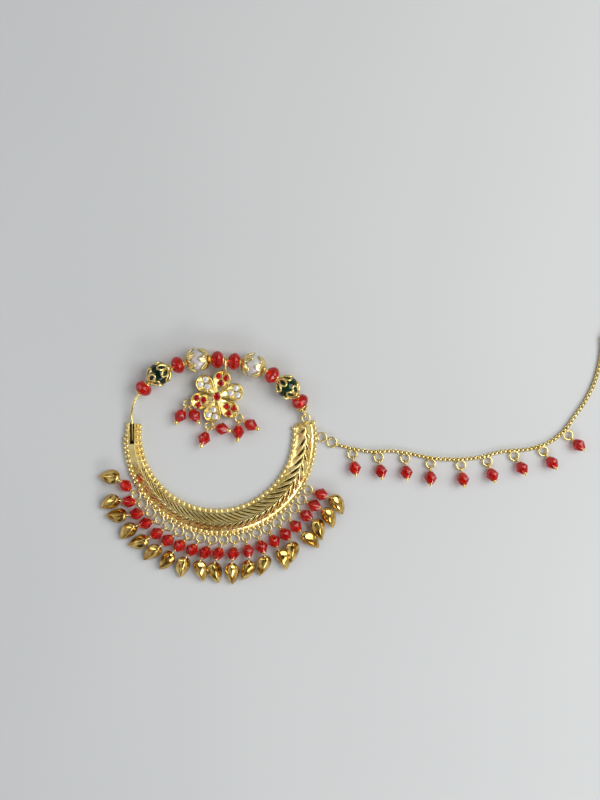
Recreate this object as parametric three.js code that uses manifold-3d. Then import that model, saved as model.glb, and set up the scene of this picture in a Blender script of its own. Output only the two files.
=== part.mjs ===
// A bridal nath: a hinged nose hoop strung with crystals, pearls and dark glass over a cast gold
// crescent, with a jewelled flower inside, a fringe of crystal and leaf drops, and a fine chain to the hair.
// It lies on its flat back. Millimetres, +Z up, floor at z = 0, the hoop towards +Y, the chain towards +X.
// The origin is the middle of the crescent's flat back at the lowest point of the ring.
import * as THREE from "three";
import { mergeVertices } from "three/addons/utils/BufferGeometryUtils.js";
import { ConvexGeometry } from "three/addons/geometries/ConvexGeometry.js";
import Module from "manifold-3d";

const wasm = await Module();
wasm.setup();

// Crescent: two circles that aren't concentric, so the band is narrow at its open left end
const OUTER_RADIUS = 30.2;
const BAND_WIDTH = 6.9;
const INNER_RADIUS = OUTER_RADIUS - BAND_WIDTH;
const INNER_SHIFT = new THREE.Vector2(-0.16, 0.232).multiplyScalar(BAND_WIDTH);
const LEFT_END_ANGLE = 170;
const RIGHT_END_ANGLE = 371.5;
const BORDER_WIDTH = BAND_WIDTH * 0.21;
const BORDER_HEIGHT = 1.2;
const FLUTE_HEIGHT = 0.85;
const CREST_HEIGHT = 3.4;
const CREST_BIAS = 0.2;
const SHOULDER_SHARE = 0.72;
const END_SLOPE_ANGLE = 9;
const END_SLOPE_DROP = 0.9;
const CHEVRON_PITCH_ANGLE = 4.6;
const CHEVRON_START_ANGLE = 201;
const CHEVRON_LEAD_ANGLE = 8;
const CHEVRON_RELIEF = 0.16;
const SMOOTH_STEP_ANGLE = 5;

// Socket slot in the crescent's left end, which the hoop's tip slides into
const SLOT_WIDTH = 1.6;
const SLOT_LENGTH = 6.4;
const SLOT_FLOOR = 1.15;
const TIP_INSET = 0.9;
const TIP_SIDE = 0.12;
const MOUTH_SIDE = -0.08;
const MOUTH_INSET = 1.4;

// Cast eyelets along the outer edge, one for each fringe drop and one for the chain
const EYELET_RADIUS = 1.35;
const EYELET_WIRE = 0.25;
const EYELET_HEIGHT = 1;
const EYELET_SEAT = 0.05;
const EYELET_PITCH = 3.546;
const FRINGE_MIDDLE_ANGLE = 271.7;
const CHAIN_EYELET_ANGLE = 0.8;

// Hinge eye at the crescent's right end and the hoop's loop in it
const HINGE_ANGLE = 13.5;
const HINGE_SHARE = 0.628;
const HINGE_HEIGHT = 1.6;
const HINGE_EYE_RADIUS = 1.25;
const HINGE_EYE_WIRE = 0.3;
const HINGE_LOOP_RADIUS = 0.95;
const HINGE_LOOP_ANGLE = 108;

// Hoop wire and the beads strung on it
const HOOP_WIRE = 0.4;
const HOOP_LOW = 1.9;
const HOOP_HIGH = 3.95;
const BORE_RADIUS = 0.9;
const RONDELLE_RADIUS = 2.65;
const RONDELLE_LENGTH = 3.75;
const GIRDLE_SHARE = 0.3;
const TABLE_SHARE = 0.62;
const PEARL_RADIUS = 3.25;
const PEARL_CAP_RADIUS = 3.85;
const GLASS_RADIUS = 3.5;
const GLASS_CAP_RADIUS = 3.85;
const CAPPED_LENGTH = 7.3;
const CAP_PETALS = 6;
const CAP_NECK = 0.35;
const CAP_SHOULDER_SHARE = 0.68;
const CAP_SHOULDER_OUT = 0.82;
const CAP_TIP_SHARE = 0.28;
const CAP_NOTCH_SHARE = 0.62;
const CAP_NOTCH_OUT = 0.9;
const END_CAP_RADIUS = 1.25;
const END_CAP_LENGTH = 1.3;
const END_CAP_GAP = 0.55;
const HOOP_STEPS = 36;

// Small drops: a cut bicone on a looped pin
const BICONE_RADIUS = 2.03;
const BICONE_HALF = 2;
const BICONE_TABLE = 0.6;
const BICONE_FACETS = 8;
const BALL_END_SIDES = 10;
const PIN_WIRE = 0.17;
const TOP_LOOP_RADIUS = 0.78;
const LEAF_LOOP_RADIUS = 0.85;
const LOOP_SEAT = 0.1;
const LOOP_CLEARANCE = 0.08;
const LOOP_STRETCH = 0.16;
const END_BALL_RADIUS = 0.72;
const FLOOR_GAP = 0.05;

// Stamped leaf: a keeled hollow almond
const LEAF_LENGTH = 7.5;
const LEAF_HALF_WIDTH = 2.3;
const LEAF_HEIGHT = 1.75;
const LEAF_WALL = 0.36;
const LEAF_HOLE_RADIUS = 0.5;
const LEAF_HOLE_FROM_END = 1.1;
const LEAF_OUTLINE_POINTS = 8;
const LEAF_HOLE_SIDES = 5;
const LEAF_HANG_HEIGHT = 0.52;

// Flower pendant
const FLOWER_SIDE = -2.75;
const FLOWER_HANG = 2.55;
const FLOWER_BACK = 1.75;
const FLOWER_TILT = 6;
const FLOWER_TURN = 74;
const PLATE_THICKNESS = 1.3;
const PETAL_RADIUS = 2.9;
const PETAL_DISTANCE = 5.6;
const PETAL_ROOT = 0.55;
const HUB_RADIUS = 2;
const STONE_RADIUS = 0.9;
const STONE_RING = 1.35;
const STONE_PROUD = 0.45;
const STONE_TABLE_SHARE = 0.55;
const PENDANT_LOOP_RADIUS = 1.2;
const PENDANT_LOOP_WIRE = 0.28;
const BAIL_RADIUS = 1.5;
const BAIL_STRETCH = 0.45;
const BAIL_WIRE = 0.3;
const BAIL_HANG = 1.1;
const BAIL_SAG = 0.3;

// Chain to the hair, and what joins its ends
const CHAIN_REACH = 88;
const CHAIN_RADIUS = 0.53;
const CHAIN_STEP = 3.2;
const CHAIN_DROP_REACH = 6.1;
const CHAIN_END_RING = 1;
const LINK_ANGLE = -27;
const LINK_RING_RADIUS = 1.45;
const LINK_RING_WIRE = 0.25;
const LINK_LOOP_RADIUS = 0.66;
const LINK_LOOP_WIRE = 0.2;
const HOOK_WIRE = 0.35;
const HOOK_BEND_RADIUS = 2;
const HOOK_SHANK = 7;

const LINK_SIDES = 10;
const WIRE_SIDES = 5;

// One row for each fringe drop, left to right: the way its bead and its leaf point, seen from above,
// and how far the leaf dips to its tip and rolls about its own length
const FRINGE = [
  { bead: 135, leaf: 178, dip: 18, roll: 10 },
  { bead: 168, leaf: 210, dip: 18, roll: -10 },
  { bead: 184, leaf: 183, dip: 18, roll: 12 },
  { bead: 193, leaf: 225, dip: 18, roll: -12 },
  { bead: 210, leaf: 196, dip: 18, roll: 12 },
  { bead: 218, leaf: 220, dip: 18, roll: -15 },
  { bead: 225, leaf: 231, dip: 18, roll: 15 },
  { bead: 233, leaf: 256, dip: 18, roll: -10 },
  { bead: 241, leaf: 284, dip: 18, roll: 12 },
  { bead: 249, leaf: 285, dip: 18, roll: -10 },
  { bead: 264, leaf: 272, dip: 18, roll: 5 },
  { bead: 279, leaf: 242, dip: 18, roll: 12 },
  { bead: 291, leaf: 250, dip: 18, roll: -20 },
  { bead: 300, leaf: 289, dip: 18, roll: 20 },
  { bead: 307, leaf: 265, dip: 18, roll: -12 },
  { bead: 314, leaf: 318, dip: 18, roll: 20 },
  { bead: 329, leaf: 286, dip: 18, roll: -15 },
  { bead: 336, leaf: 293, dip: 18, roll: 10 },
  { bead: 343, leaf: 300, dip: 18, roll: 8 },
];

// Beads on the hoop in order from the hinge, with the bare wire in front of each
const HOOP_BEADS = [
  { name: "red_bead_6", kind: "rondelle", gap: 1.62 },
  { name: "green_bead_2", kind: "glass", gap: 0.48 },
  { name: "red_bead_5", kind: "rondelle", gap: 0.5 },
  { name: "pearl_bead_2", kind: "pearl", gap: 0.99 },
  { name: "red_bead_4", kind: "rondelle", gap: 0.5 },
  { name: "red_bead_3", kind: "rondelle", gap: 1.5 },
  { name: "pearl_bead_1", kind: "pearl", gap: 0.48 },
  { name: "red_bead_2", kind: "rondelle", gap: 0.87 },
  { name: "green_bead_1", kind: "glass", gap: 0.93 },
  { name: "red_bead_1", kind: "rondelle", gap: 1.05 },
];
const BAIL_BEFORE = "red_bead_3";

// The hoop's wire from the slot to the hinge: angle and distance about the ring's centre as shares of the
// crescent's outer radius, and height as a share of the way from its low to its high level
const HOOP_ROUTE = [
  { angle: 165, reach: 0.944, lift: 0.03 },
  { angle: 156.3, reach: 0.956, lift: 0.35 },
  { angle: 146.5, reach: 0.935, lift: 0.75 },
  { angle: 133.1, reach: 0.906, lift: 1 },
  { angle: 119.5, reach: 0.867, lift: 1 },
  { angle: 105.4, reach: 0.838, lift: 1 },
  { angle: 91.7, reach: 0.811, lift: 1 },
  { angle: 79.4, reach: 0.805, lift: 1 },
  { angle: 65.4, reach: 0.824, lift: 1 },
  { angle: 50.6, reach: 0.843, lift: 1 },
  { angle: 37.1, reach: 0.872, lift: 1 },
  { angle: 25, reach: 0.904, lift: 0.42 },
];

// Flower drops: which pendant loop each hangs in, and the way it points
const FLOWER_DROPS = [
  { loop: 0, bead: 240 },
  { loop: 0, bead: 301 },
  { loop: 1, bead: 250 },
  { loop: 1, bead: 347 },
  { loop: 2, bead: 267 },
  { loop: 2, bead: 331 },
];
const PENDANT_LOOP_ANGLES = [-166, -106, -46];
const PENDANT_LOOP_DISTANCE = 9.6;

// The chain's route over the floor to its last ring, from the chain's eyelet, as shares of its reach
const CHAIN_ROUTE = [
  [0.11, -0.041], [0.17, -0.052], [0.241, -0.049], [0.295, -0.055], [0.356, -0.069],
  [0.419, -0.078], [0.49, -0.079], [0.561, -0.071], [0.632, -0.053], [0.685, -0.047],
  [0.739, -0.041], [0.803, -0.02], [0.852, 0.018], [0.895, 0.075], [0.934, 0.131],
  [0.963, 0.188], [0.985, 0.268], [0.995, 0.336],
];
const CHAIN_DROPS = [
  { share: 0.042, bead: 279 },
  { share: 0.122, bead: 278 },
  { share: 0.203, bead: 274 },
  { share: 0.283, bead: 268 },
  { share: 0.372, bead: 276 },
  { share: 0.449, bead: 288 },
  { share: 0.528, bead: 300 },
  { share: 0.615, bead: 305 },
  { share: 0.702, bead: 315 },
];

const gold = new THREE.MeshStandardMaterial({ color: 0xd9a93a, roughness: 0.18, metalness: 1 });
const crystal = new THREE.MeshStandardMaterial({ color: 0xb8121a, roughness: 0.08, metalness: 0 });
const glass = new THREE.MeshStandardMaterial({ color: 0x14301f, roughness: 0.08, metalness: 0 });
const pearl = new THREE.MeshStandardMaterial({ color: 0xe9e4e0, roughness: 0.25, metalness: 0 });

function radians(degrees) {
  return THREE.MathUtils.degToRad(degrees);
}

function polar(radius, degrees, z = 0) {
  return new THREE.Vector3(radius * Math.cos(radians(degrees)), radius * Math.sin(radians(degrees)), z);
}

// A closed geometry as a solid that can be joined and cut
function solidOf(geometry) {
  const bare = new THREE.BufferGeometry();
  bare.setAttribute("position", geometry.getAttribute("position").clone());
  if (geometry.index) {
    bare.setIndex(geometry.index.clone());
  }
  const merged = mergeVertices(bare, 1e-4);
  const corners = merged.index.array;
  const triangles = [];
  for (let i = 0; i < corners.length; i += 3) {
    const [a, b, c] = [corners[i], corners[i + 1], corners[i + 2]];
    if (a !== b && b !== c && a !== c) {
      triangles.push(a, b, c);
    }
  }
  const mesh = new wasm.Mesh({
    numProp: 3,
    vertProperties: new Float32Array(merged.attributes.position.array),
    triVerts: new Uint32Array(triangles),
  });
  return new wasm.Manifold(mesh);
}

// The same, for a geometry whose faces may all point inwards
function facingOut(geometry) {
  const solid = solidOf(geometry);
  if (solid.volume() > 0) {
    return solid;
  }
  geometry.setIndex([...geometry.index.array].reverse());
  return solidOf(geometry);
}

function joined(solids) {
  return solids.reduce((whole, solid) => whole.add(solid));
}

function moved(solid, matrix) {
  return solid.transform(matrix.elements);
}

function meshOf(name, solid, material) {
  const result = solid.getMesh();
  const positions = new Float32Array(result.numVert * 3);
  for (let i = 0; i < result.numVert; i += 1) {
    const start = i * result.numProp;
    positions.set(result.vertProperties.subarray(start, start + 3), i * 3);
  }
  const geometry = new THREE.BufferGeometry();
  geometry.setAttribute("position", new THREE.BufferAttribute(positions, 3));
  geometry.setIndex(new THREE.BufferAttribute(new Uint32Array(result.triVerts), 1));
  geometry.computeVertexNormals();
  const mesh = new THREE.Mesh(geometry, material);
  mesh.name = name;
  return mesh;
}

// A wire ring lying flat about its own centre
function flatRing(radius, wire) {
  return solidOf(new THREE.TorusGeometry(radius, wire, WIRE_SIDES, LINK_SIDES));
}

// The same, drawn out along X by a straight stretch on either side of its middle
function longRing(radius, halfStretch, wire) {
  const geometry = new THREE.TorusGeometry(radius, wire, WIRE_SIDES, LINK_SIDES);
  const position = geometry.getAttribute("position");
  for (let i = 0; i < position.count; i += 1) {
    const x = position.getX(i);
    position.setX(i, x + Math.sign(x) * halfStretch);
  }
  return solidOf(geometry);
}

// A wire ring standing in the X-Z plane
function standingRing(radius, wire) {
  const turn = new THREE.Matrix4().makeRotationX(Math.PI / 2);
  return moved(flatRing(radius, wire), turn);
}

// A lathe about the X axis: each point is a place along X and a distance from it
function turned(points, sides) {
  const profile = points.map(([along, out]) => new THREE.Vector2(out, along));
  const geometry = new THREE.LatheGeometry(profile, sides);
  geometry.rotateZ(-Math.PI / 2);
  return facingOut(geometry);
}

function rod(radius, from, to, sides) {
  return turned([[from, 0], [from, radius], [to, radius], [to, 0]], sides);
}

function tube(curve, radius, sides, steps) {
  const shape = new THREE.Shape();
  for (let i = 0; i < sides; i += 1) {
    const corner = polar(radius, (360 * i) / sides);
    if (i === 0) {
      shape.moveTo(corner.x, corner.y);
    } else {
      shape.lineTo(corner.x, corner.y);
    }
  }
  shape.closePath();
  return solidOf(new THREE.ExtrudeGeometry(shape, { steps, extrudePath: curve, bevelEnabled: false }));
}

// The frame whose +X points along a direction, with +Z as near upright as it can be
function aim(position, direction) {
  const ahead = direction.clone().normalize();
  const side = new THREE.Vector3(0, 0, 1).cross(ahead).normalize();
  const up = ahead.clone().cross(side);
  return new THREE.Matrix4().makeBasis(ahead, side, up).setPosition(position);
}

// Crescent

function innerEdge(degrees) {
  const ray = polar(1, degrees);
  const along = ray.x * INNER_SHIFT.x + ray.y * INNER_SHIFT.y;
  return along + Math.sqrt(INNER_RADIUS ** 2 - INNER_SHIFT.lengthSq() + along ** 2);
}

function smooth(from, to, value) {
  return THREE.MathUtils.smoothstep(value, Math.min(from, to), Math.max(from, to));
}

function crescentStations() {
  const stations = [];
  const smoothSteps = Math.ceil((CHEVRON_START_ANGLE - LEFT_END_ANGLE) / SMOOTH_STEP_ANGLE);
  for (let i = 0; i < smoothSteps; i += 1) {
    const share = i / smoothSteps;
    stations.push({ angle: THREE.MathUtils.lerp(LEFT_END_ANGLE, CHEVRON_START_ANGLE, share), raise: 0 });
  }
  const half = CHEVRON_PITCH_ANGLE / 2;
  const halves = Math.floor((RIGHT_END_ANGLE - half - CHEVRON_START_ANGLE) / half);
  for (let i = 0; i <= halves; i += 1) {
    const raise = i % 2 === 0 ? -CHEVRON_RELIEF : CHEVRON_RELIEF;
    stations.push({ angle: CHEVRON_START_ANGLE + i * half, raise });
  }
  stations.push({ angle: RIGHT_END_ANGLE, raise: 0 });
  return stations;
}

// The section's points from the outer edge of the back, over the crest, to the inner edge of the back
function crescentSection(station) {
  const inner = innerEdge(station.angle);
  const bodyOuter = OUTER_RADIUS - BORDER_WIDTH;
  const bodyInner = inner + BORDER_WIDTH;
  const toEnd = RIGHT_END_ANGLE - station.angle;
  const endDrop = END_SLOPE_DROP * (1 - smooth(0, END_SLOPE_ANGLE, toEnd));
  const crest = CREST_HEIGHT - endDrop;
  const shoulder = THREE.MathUtils.lerp(FLUTE_HEIGHT, crest, SHOULDER_SHARE);
  const leftEase = smooth(LEFT_END_ANGLE, CHEVRON_START_ANGLE, station.angle);
  const ease = leftEase * smooth(0, END_SLOPE_ANGLE * 2, toEnd);
  const lead = CHEVRON_LEAD_ANGLE * ease;
  const middle = (bodyOuter + bodyInner) / 2;
  const spine = middle + CREST_BIAS * (bodyOuter - middle);
  const outerShoulder = (spine + bodyOuter) / 2;
  const innerShoulder = (spine + bodyInner) / 2;
  return [
    polar(OUTER_RADIUS, station.angle, 0),
    polar(OUTER_RADIUS, station.angle, BORDER_HEIGHT),
    polar(bodyOuter, station.angle, FLUTE_HEIGHT),
    polar(outerShoulder, station.angle + lead / 2, shoulder + station.raise),
    polar(spine, station.angle + lead, crest + station.raise),
    polar(innerShoulder, station.angle + lead / 2, shoulder + station.raise),
    polar(bodyInner, station.angle, FLUTE_HEIGHT),
    polar(inner, station.angle, BORDER_HEIGHT),
    polar(inner, station.angle, 0),
  ];
}

function crescentBody() {
  const sections = crescentStations().map(crescentSection);
  const count = sections[0].length;
  const points = sections.flat();
  const triangles = [];
  for (let i = 0; i + 1 < sections.length; i += 1) {
    for (let j = 0; j < count; j += 1) {
      const next = (j + 1) % count;
      const [a, b] = [i * count + j, i * count + next];
      const [c, d] = [a + count, b + count];
      triangles.push(a, c, b, b, c, d);
    }
  }
  const outline = sections[0].map((point) => new THREE.Vector2(Math.hypot(point.x, point.y), point.z));
  const last = (sections.length - 1) * count;
  const face = THREE.ShapeUtils.triangulateShape(outline, []);
  for (const [a, b, c] of face) {
    triangles.push(a, b, c, last + c, last + b, last + a);
  }
  const geometry = new THREE.BufferGeometry().setFromPoints(points);
  geometry.setIndex(triangles);
  return facingOut(geometry);
}

function box(width, length, height) {
  return solidOf(new THREE.BoxGeometry(width, length, height));
}

const hingeRadius = THREE.MathUtils.lerp(innerEdge(HINGE_ANGLE), OUTER_RADIUS, HINGE_SHARE);
const hingeCentre = polar(hingeRadius, HINGE_ANGLE, HINGE_HEIGHT);
const eyeletDistance = OUTER_RADIUS + EYELET_RADIUS + EYELET_SEAT;
const eyeletPitchAngle = THREE.MathUtils.radToDeg(EYELET_PITCH / eyeletDistance);
const eyelets = FRINGE.map((row, i) => {
  const steps = i - (FRINGE.length - 1) / 2;
  return polar(eyeletDistance, FRINGE_MIDDLE_ANGLE + steps * eyeletPitchAngle, EYELET_HEIGHT);
});
const chainEyelet = polar(eyeletDistance, CHAIN_EYELET_ANGLE, EYELET_HEIGHT);

const slotMouth = polar((innerEdge(LEFT_END_ANGLE) + OUTER_RADIUS) / 2, LEFT_END_ANGLE, 0);
const slotTop = slotMouth.y + SLOT_WIDTH;
const slotEnd = slotMouth.y - SLOT_LENGTH;
const slotX = -(innerEdge(180) + OUTER_RADIUS) / 2;

function crescent() {
  const hoopSlot = box(SLOT_WIDTH, slotTop - slotEnd, CREST_HEIGHT * 2);
  const slotCentre = [slotX, (slotTop + slotEnd) / 2, SLOT_FLOOR + CREST_HEIGHT];
  const parts = [crescentBody().subtract(hoopSlot.translate(slotCentre))];
  for (const centre of [...eyelets, chainEyelet]) {
    parts.push(flatRing(EYELET_RADIUS, EYELET_WIRE).translate(centre.toArray()));
  }
  parts.push(flatRing(HINGE_EYE_RADIUS, HINGE_EYE_WIRE).translate(hingeCentre.toArray()));
  return joined(parts);
}

// Hoop

const hoopTip = new THREE.Vector3(slotX + TIP_SIDE, slotEnd + TIP_INSET, HOOP_LOW);
const hoopMouth = new THREE.Vector3(slotX + MOUTH_SIDE, slotTop - MOUTH_INSET, HOOP_LOW);
const loopAhead = polar(1, HINGE_LOOP_ANGLE);
const hoopEnd = hingeCentre.clone().addScaledVector(loopAhead, HINGE_EYE_RADIUS + HINGE_LOOP_RADIUS);

const hoopCurve = new THREE.CatmullRomCurve3(
  [
    hoopTip,
    hoopMouth,
    ...HOOP_ROUTE.map(({ angle, reach, lift }) => {
      return polar(OUTER_RADIUS * reach, angle, THREE.MathUtils.lerp(HOOP_LOW, HOOP_HIGH, lift));
    }),
    hoopEnd,
  ],
  false,
  "centripetal",
);

// A frame on the hoop's wire at a distance along it from the hinge, with +X towards the hinge
function onHoop(distance) {
  const share = 1 - distance / hoopCurve.getLength();
  return aim(hoopCurve.getPointAt(share), hoopCurve.getTangentAt(share));
}

// Each bead's middle, and the middle of the bare wire in front of it, as distances from the hinge
const beadPlaces = {};
let strung = 0;
for (const { name, kind, gap } of HOOP_BEADS) {
  const length = kind === "rondelle" ? RONDELLE_LENGTH : CAPPED_LENGTH;
  beadPlaces[name] = { middle: strung + gap + length / 2, before: strung + gap / 2 };
  strung += gap + length;
}

function hoopWire() {
  const loop = moved(standingRing(HINGE_LOOP_RADIUS, HOOP_WIRE), aim(
    hingeCentre.clone().addScaledVector(loopAhead, HINGE_EYE_RADIUS),
    loopAhead,
  ));
  const capPlace = HOOP_BEADS[0].gap - END_CAP_GAP;
  const cap = turned([
    [0, 0],
    [0, END_CAP_RADIUS],
    [END_CAP_LENGTH, HOOP_WIRE * 1.4],
    [END_CAP_LENGTH, 0],
  ], LINK_SIDES);
  return joined([
    tube(hoopCurve, HOOP_WIRE, 6, HOOP_STEPS),
    loop,
    moved(cap, onHoop(capPlace)),
  ]);
}

function rondelle() {
  const half = RONDELLE_LENGTH / 2;
  const girdle = half * GIRDLE_SHARE;
  const table = RONDELLE_RADIUS * TABLE_SHARE;
  return turned([
    [-half, BORE_RADIUS],
    [-half, table],
    [-girdle, RONDELLE_RADIUS],
    [girdle, RONDELLE_RADIUS],
    [half, table],
    [half, BORE_RADIUS],
    [-half, BORE_RADIUS],
  ], LINK_SIDES);
}

// A drilled ball between two petalled caps, whose rims have long tips and short notches by turns
function cappedBead(ballRadius, tipRadius) {
  const half = CAPPED_LENGTH / 2;
  const tipPlace = ballRadius * CAP_TIP_SHARE;
  const notchPlace = ballRadius * CAP_NOTCH_SHARE;
  const side = [
    [half, BORE_RADIUS],
    [half, BORE_RADIUS + CAP_NECK],
    [ballRadius * CAP_SHOULDER_SHARE, tipRadius * CAP_SHOULDER_OUT],
    [tipPlace, tipRadius],
    [tipPlace, Math.sqrt(ballRadius ** 2 - tipPlace ** 2)],
  ];
  const otherSide = side.map(([along, out]) => [-along, out]).reverse();
  const points = [...side, ...otherSide, side[0]];
  const profile = points.map(([along, out]) => new THREE.Vector2(out, along));
  const geometry = new THREE.LatheGeometry(profile, CAP_PETALS * 2);
  const position = geometry.getAttribute("position");
  for (let i = 0; i < position.count; i += 1) {
    const point = new THREE.Vector3().fromBufferAttribute(position, i);
    const step = Math.round(Math.atan2(point.x, point.z) / (Math.PI / CAP_PETALS));
    const atRim = Math.abs(Math.abs(point.y) - tipPlace) < 1e-3;
    if (atRim && Math.abs(step) % 2 === 1) {
      const out = Math.hypot(point.x, point.z);
      const onBall = Math.sqrt(ballRadius ** 2 - notchPlace ** 2);
      const shrink = (out < tipRadius - 1e-3 ? onBall : tipRadius * CAP_NOTCH_OUT) / out;
      position.setXYZ(i, point.x * shrink, Math.sign(point.y) * notchPlace, point.z * shrink);
    }
  }
  geometry.rotateZ(-Math.PI / 2);
  return facingOut(geometry);
}

// Drops

// A cut bicone with flat tables, whose pin may end in a ball
function bicone(ballRadius) {
  const points = [
    [-BICONE_HALF, 0],
    [-BICONE_HALF, BICONE_TABLE],
    [0, BICONE_RADIUS],
    [BICONE_HALF, BICONE_TABLE],
  ];
  if (ballRadius > 0) {
    points.push([BICONE_HALF + ballRadius * 0.6, ballRadius]);
    points.push([BICONE_HALF + ballRadius * 1.4, ballRadius * 0.55]);
    points.push([BICONE_HALF + ballRadius * 1.4, 0]);
  } else {
    points.push([BICONE_HALF, 0]);
  }
  return turned(points, ballRadius > 0 ? BALL_END_SIDES : BICONE_FACETS);
}

// A wire loop through which the bead hangs, drawn out along the pin
function pinLoop(radius, centre) {
  const upright = new THREE.Matrix4().makeRotationX(Math.PI / 2).setPosition(centre, 0, 0);
  return moved(longRing(radius, LOOP_STRETCH, PIN_WIRE), upright);
}

const topLoopCentre = -(BICONE_HALF + TOP_LOOP_RADIUS + LOOP_STRETCH + PIN_WIRE / 2);
const leafLoopCentre = BICONE_HALF + LEAF_LOOP_RADIUS + LOOP_STRETCH + PIN_WIRE / 2;

// The frame of a bead that lies on the floor with its top loop in a ring
function hanging(ringCentre, ringRadius, degrees) {
  const beadHeight = BICONE_RADIUS + FLOOR_GAP;
  const loopHeight = ringCentre.z + LOOP_SEAT;
  const rise = Math.asin((beadHeight - loopHeight) / -topLoopCentre);
  const reach = ringRadius + LOOP_SEAT - topLoopCentre * Math.cos(rise);
  const beadCentre = ringCentre.clone().addScaledVector(polar(1, degrees), reach).setZ(beadHeight);
  const ahead = polar(Math.cos(rise), degrees, Math.sin(rise));
  return aim(beadCentre, ahead);
}

function fringeBead() {
  return joined([
    bicone(0),
    pinLoop(TOP_LOOP_RADIUS, topLoopCentre),
    pinLoop(LEAF_LOOP_RADIUS, leafLoopCentre),
  ]);
}

function ballBead() {
  return joined([bicone(END_BALL_RADIUS), pinLoop(TOP_LOOP_RADIUS, topLoopCentre)]);
}

function leafHull(shrink, outlinePoints) {
  const points = [];
  for (let i = 0; i < outlinePoints; i += 1) {
    const turn = (Math.PI * 2 * i) / outlinePoints;
    const share = (1 - Math.cos(turn)) / 2;
    const width = LEAF_HALF_WIDTH - shrink;
    const length = LEAF_LENGTH - shrink * 2;
    const out = Math.sin(turn) * width * (1.14 - 0.5 * share);
    points.push(new THREE.Vector3(shrink + length * share, out, -shrink));
  }
  const keel = LEAF_HEIGHT - shrink;
  points.push(new THREE.Vector3(LEAF_LENGTH * 0.24, 0, keel * 0.85));
  points.push(new THREE.Vector3(LEAF_LENGTH * 0.55, 0, keel * 0.95));
  return solidOf(new ConvexGeometry(points));
}

function leaf() {
  const hole = rod(LEAF_HOLE_RADIUS, -LEAF_HEIGHT, LEAF_HEIGHT * 2, LEAF_HOLE_SIDES);
  const upright = new THREE.Matrix4().makeRotationY(-Math.PI / 2).setPosition(LEAF_HOLE_FROM_END, 0, 0);
  const hollow = leafHull(LEAF_WALL, LEAF_OUTLINE_POINTS - 2);
  return leafHull(0, LEAF_OUTLINE_POINTS).subtract(hollow).subtract(moved(hole, upright));
}

// The leaf hangs by its hole from the far side of the pin's lower loop
function leafFrame(beadFrame, row) {
  const loopEnd = leafLoopCentre + LEAF_LOOP_RADIUS + LOOP_STRETCH;
  const hang = new THREE.Vector3(loopEnd, 0, 0).applyMatrix4(beadFrame);
  const frame = new THREE.Matrix4().makeRotationZ(radians(row.leaf));
  frame.multiply(new THREE.Matrix4().makeRotationY(radians(row.dip)));
  frame.multiply(new THREE.Matrix4().makeRotationX(radians(row.roll)));
  frame.setPosition(hang);
  return frame.multiply(new THREE.Matrix4().makeTranslation(-LEAF_HOLE_FROM_END, 0, -LEAF_HANG_HEIGHT));
}

// Flower pendant

const bailWire = new THREE.Vector3().setFromMatrixPosition(onHoop(beadPlaces[BAIL_BEFORE].before));
const flowerCentre = new THREE.Vector3(
  bailWire.x + FLOWER_SIDE,
  bailWire.y - PETAL_DISTANCE - PETAL_RADIUS - FLOWER_HANG,
  FLOWER_BACK,
);
const flowerFrame = new THREE.Matrix4().makeRotationX(radians(FLOWER_TILT)).setPosition(flowerCentre);

function discPoints(centre, radius, sides) {
  const points = [];
  for (let i = 0; i < sides; i += 1) {
    const rim = polar(radius, (360 * (i + 0.5)) / sides).add(centre);
    points.push(rim, rim.clone().setZ(PLATE_THICKNESS));
  }
  return points;
}

function petal(degrees) {
  const points = discPoints(new THREE.Vector3(PETAL_DISTANCE, 0, 0), PETAL_RADIUS, LINK_SIDES);
  for (const side of [-PETAL_ROOT, PETAL_ROOT]) {
    points.push(new THREE.Vector3(1, side, 0), new THREE.Vector3(1, side, PLATE_THICKNESS));
  }
  return moved(solidOf(new ConvexGeometry(points)), new THREE.Matrix4().makeRotationZ(radians(degrees)));
}

function stone(centre) {
  const cut = turned([
    [-STONE_PROUD, 0],
    [-STONE_PROUD, STONE_RADIUS],
    [0, STONE_RADIUS],
    [STONE_PROUD, STONE_RADIUS * STONE_TABLE_SHARE],
    [STONE_PROUD, 0],
  ], 8);
  const upright = new THREE.Matrix4().makeRotationY(-Math.PI / 2);
  return moved(cut, upright.setPosition(centre.x, centre.y, PLATE_THICKNESS));
}

function flowerStones() {
  const stones = [stone(new THREE.Vector3())];
  for (let i = 0; i < 6; i += 1) {
    const petalAngle = FLOWER_TURN + 60 * i;
    for (let j = 0; j < 3; j += 1) {
      const place = polar(PETAL_DISTANCE, petalAngle).add(polar(STONE_RING, petalAngle + 180 + 120 * j));
      stones.push(stone(place));
    }
  }
  return stones;
}

const pendantLoopPlaces = PENDANT_LOOP_ANGLES.map((angle) => {
  return polar(PENDANT_LOOP_DISTANCE, angle, PENDANT_LOOP_WIRE).applyMatrix4(flowerFrame);
});

function flowerPendant() {
  const hub = new ConvexGeometry(discPoints(new THREE.Vector3(), HUB_RADIUS, LINK_SIDES));
  const parts = [solidOf(hub)];
  for (let i = 0; i < 6; i += 1) {
    parts.push(petal(FLOWER_TURN + 60 * i));
  }
  const plate = joined([...parts, ...flowerStones()]);
  const loops = PENDANT_LOOP_ANGLES.map((angle) => {
    const place = polar(PENDANT_LOOP_DISTANCE, angle, PENDANT_LOOP_WIRE);
    return flatRing(PENDANT_LOOP_RADIUS, PENDANT_LOOP_WIRE).translate(place.toArray());
  });
  const upright = new THREE.Matrix4().makeRotationX(Math.PI / 2);
  const bail = moved(longRing(BAIL_RADIUS, BAIL_STRETCH, BAIL_WIRE), upright);
  const bailCentre = bailWire.clone().add(new THREE.Vector3(0, -BAIL_HANG, -BAIL_SAG));
  const bailFrame = aim(bailCentre, new THREE.Vector3(0, 1, 0));
  return joined([moved(joined([plate, ...loops]), flowerFrame), moved(bail, bailFrame)]);
}

// Chain

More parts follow.
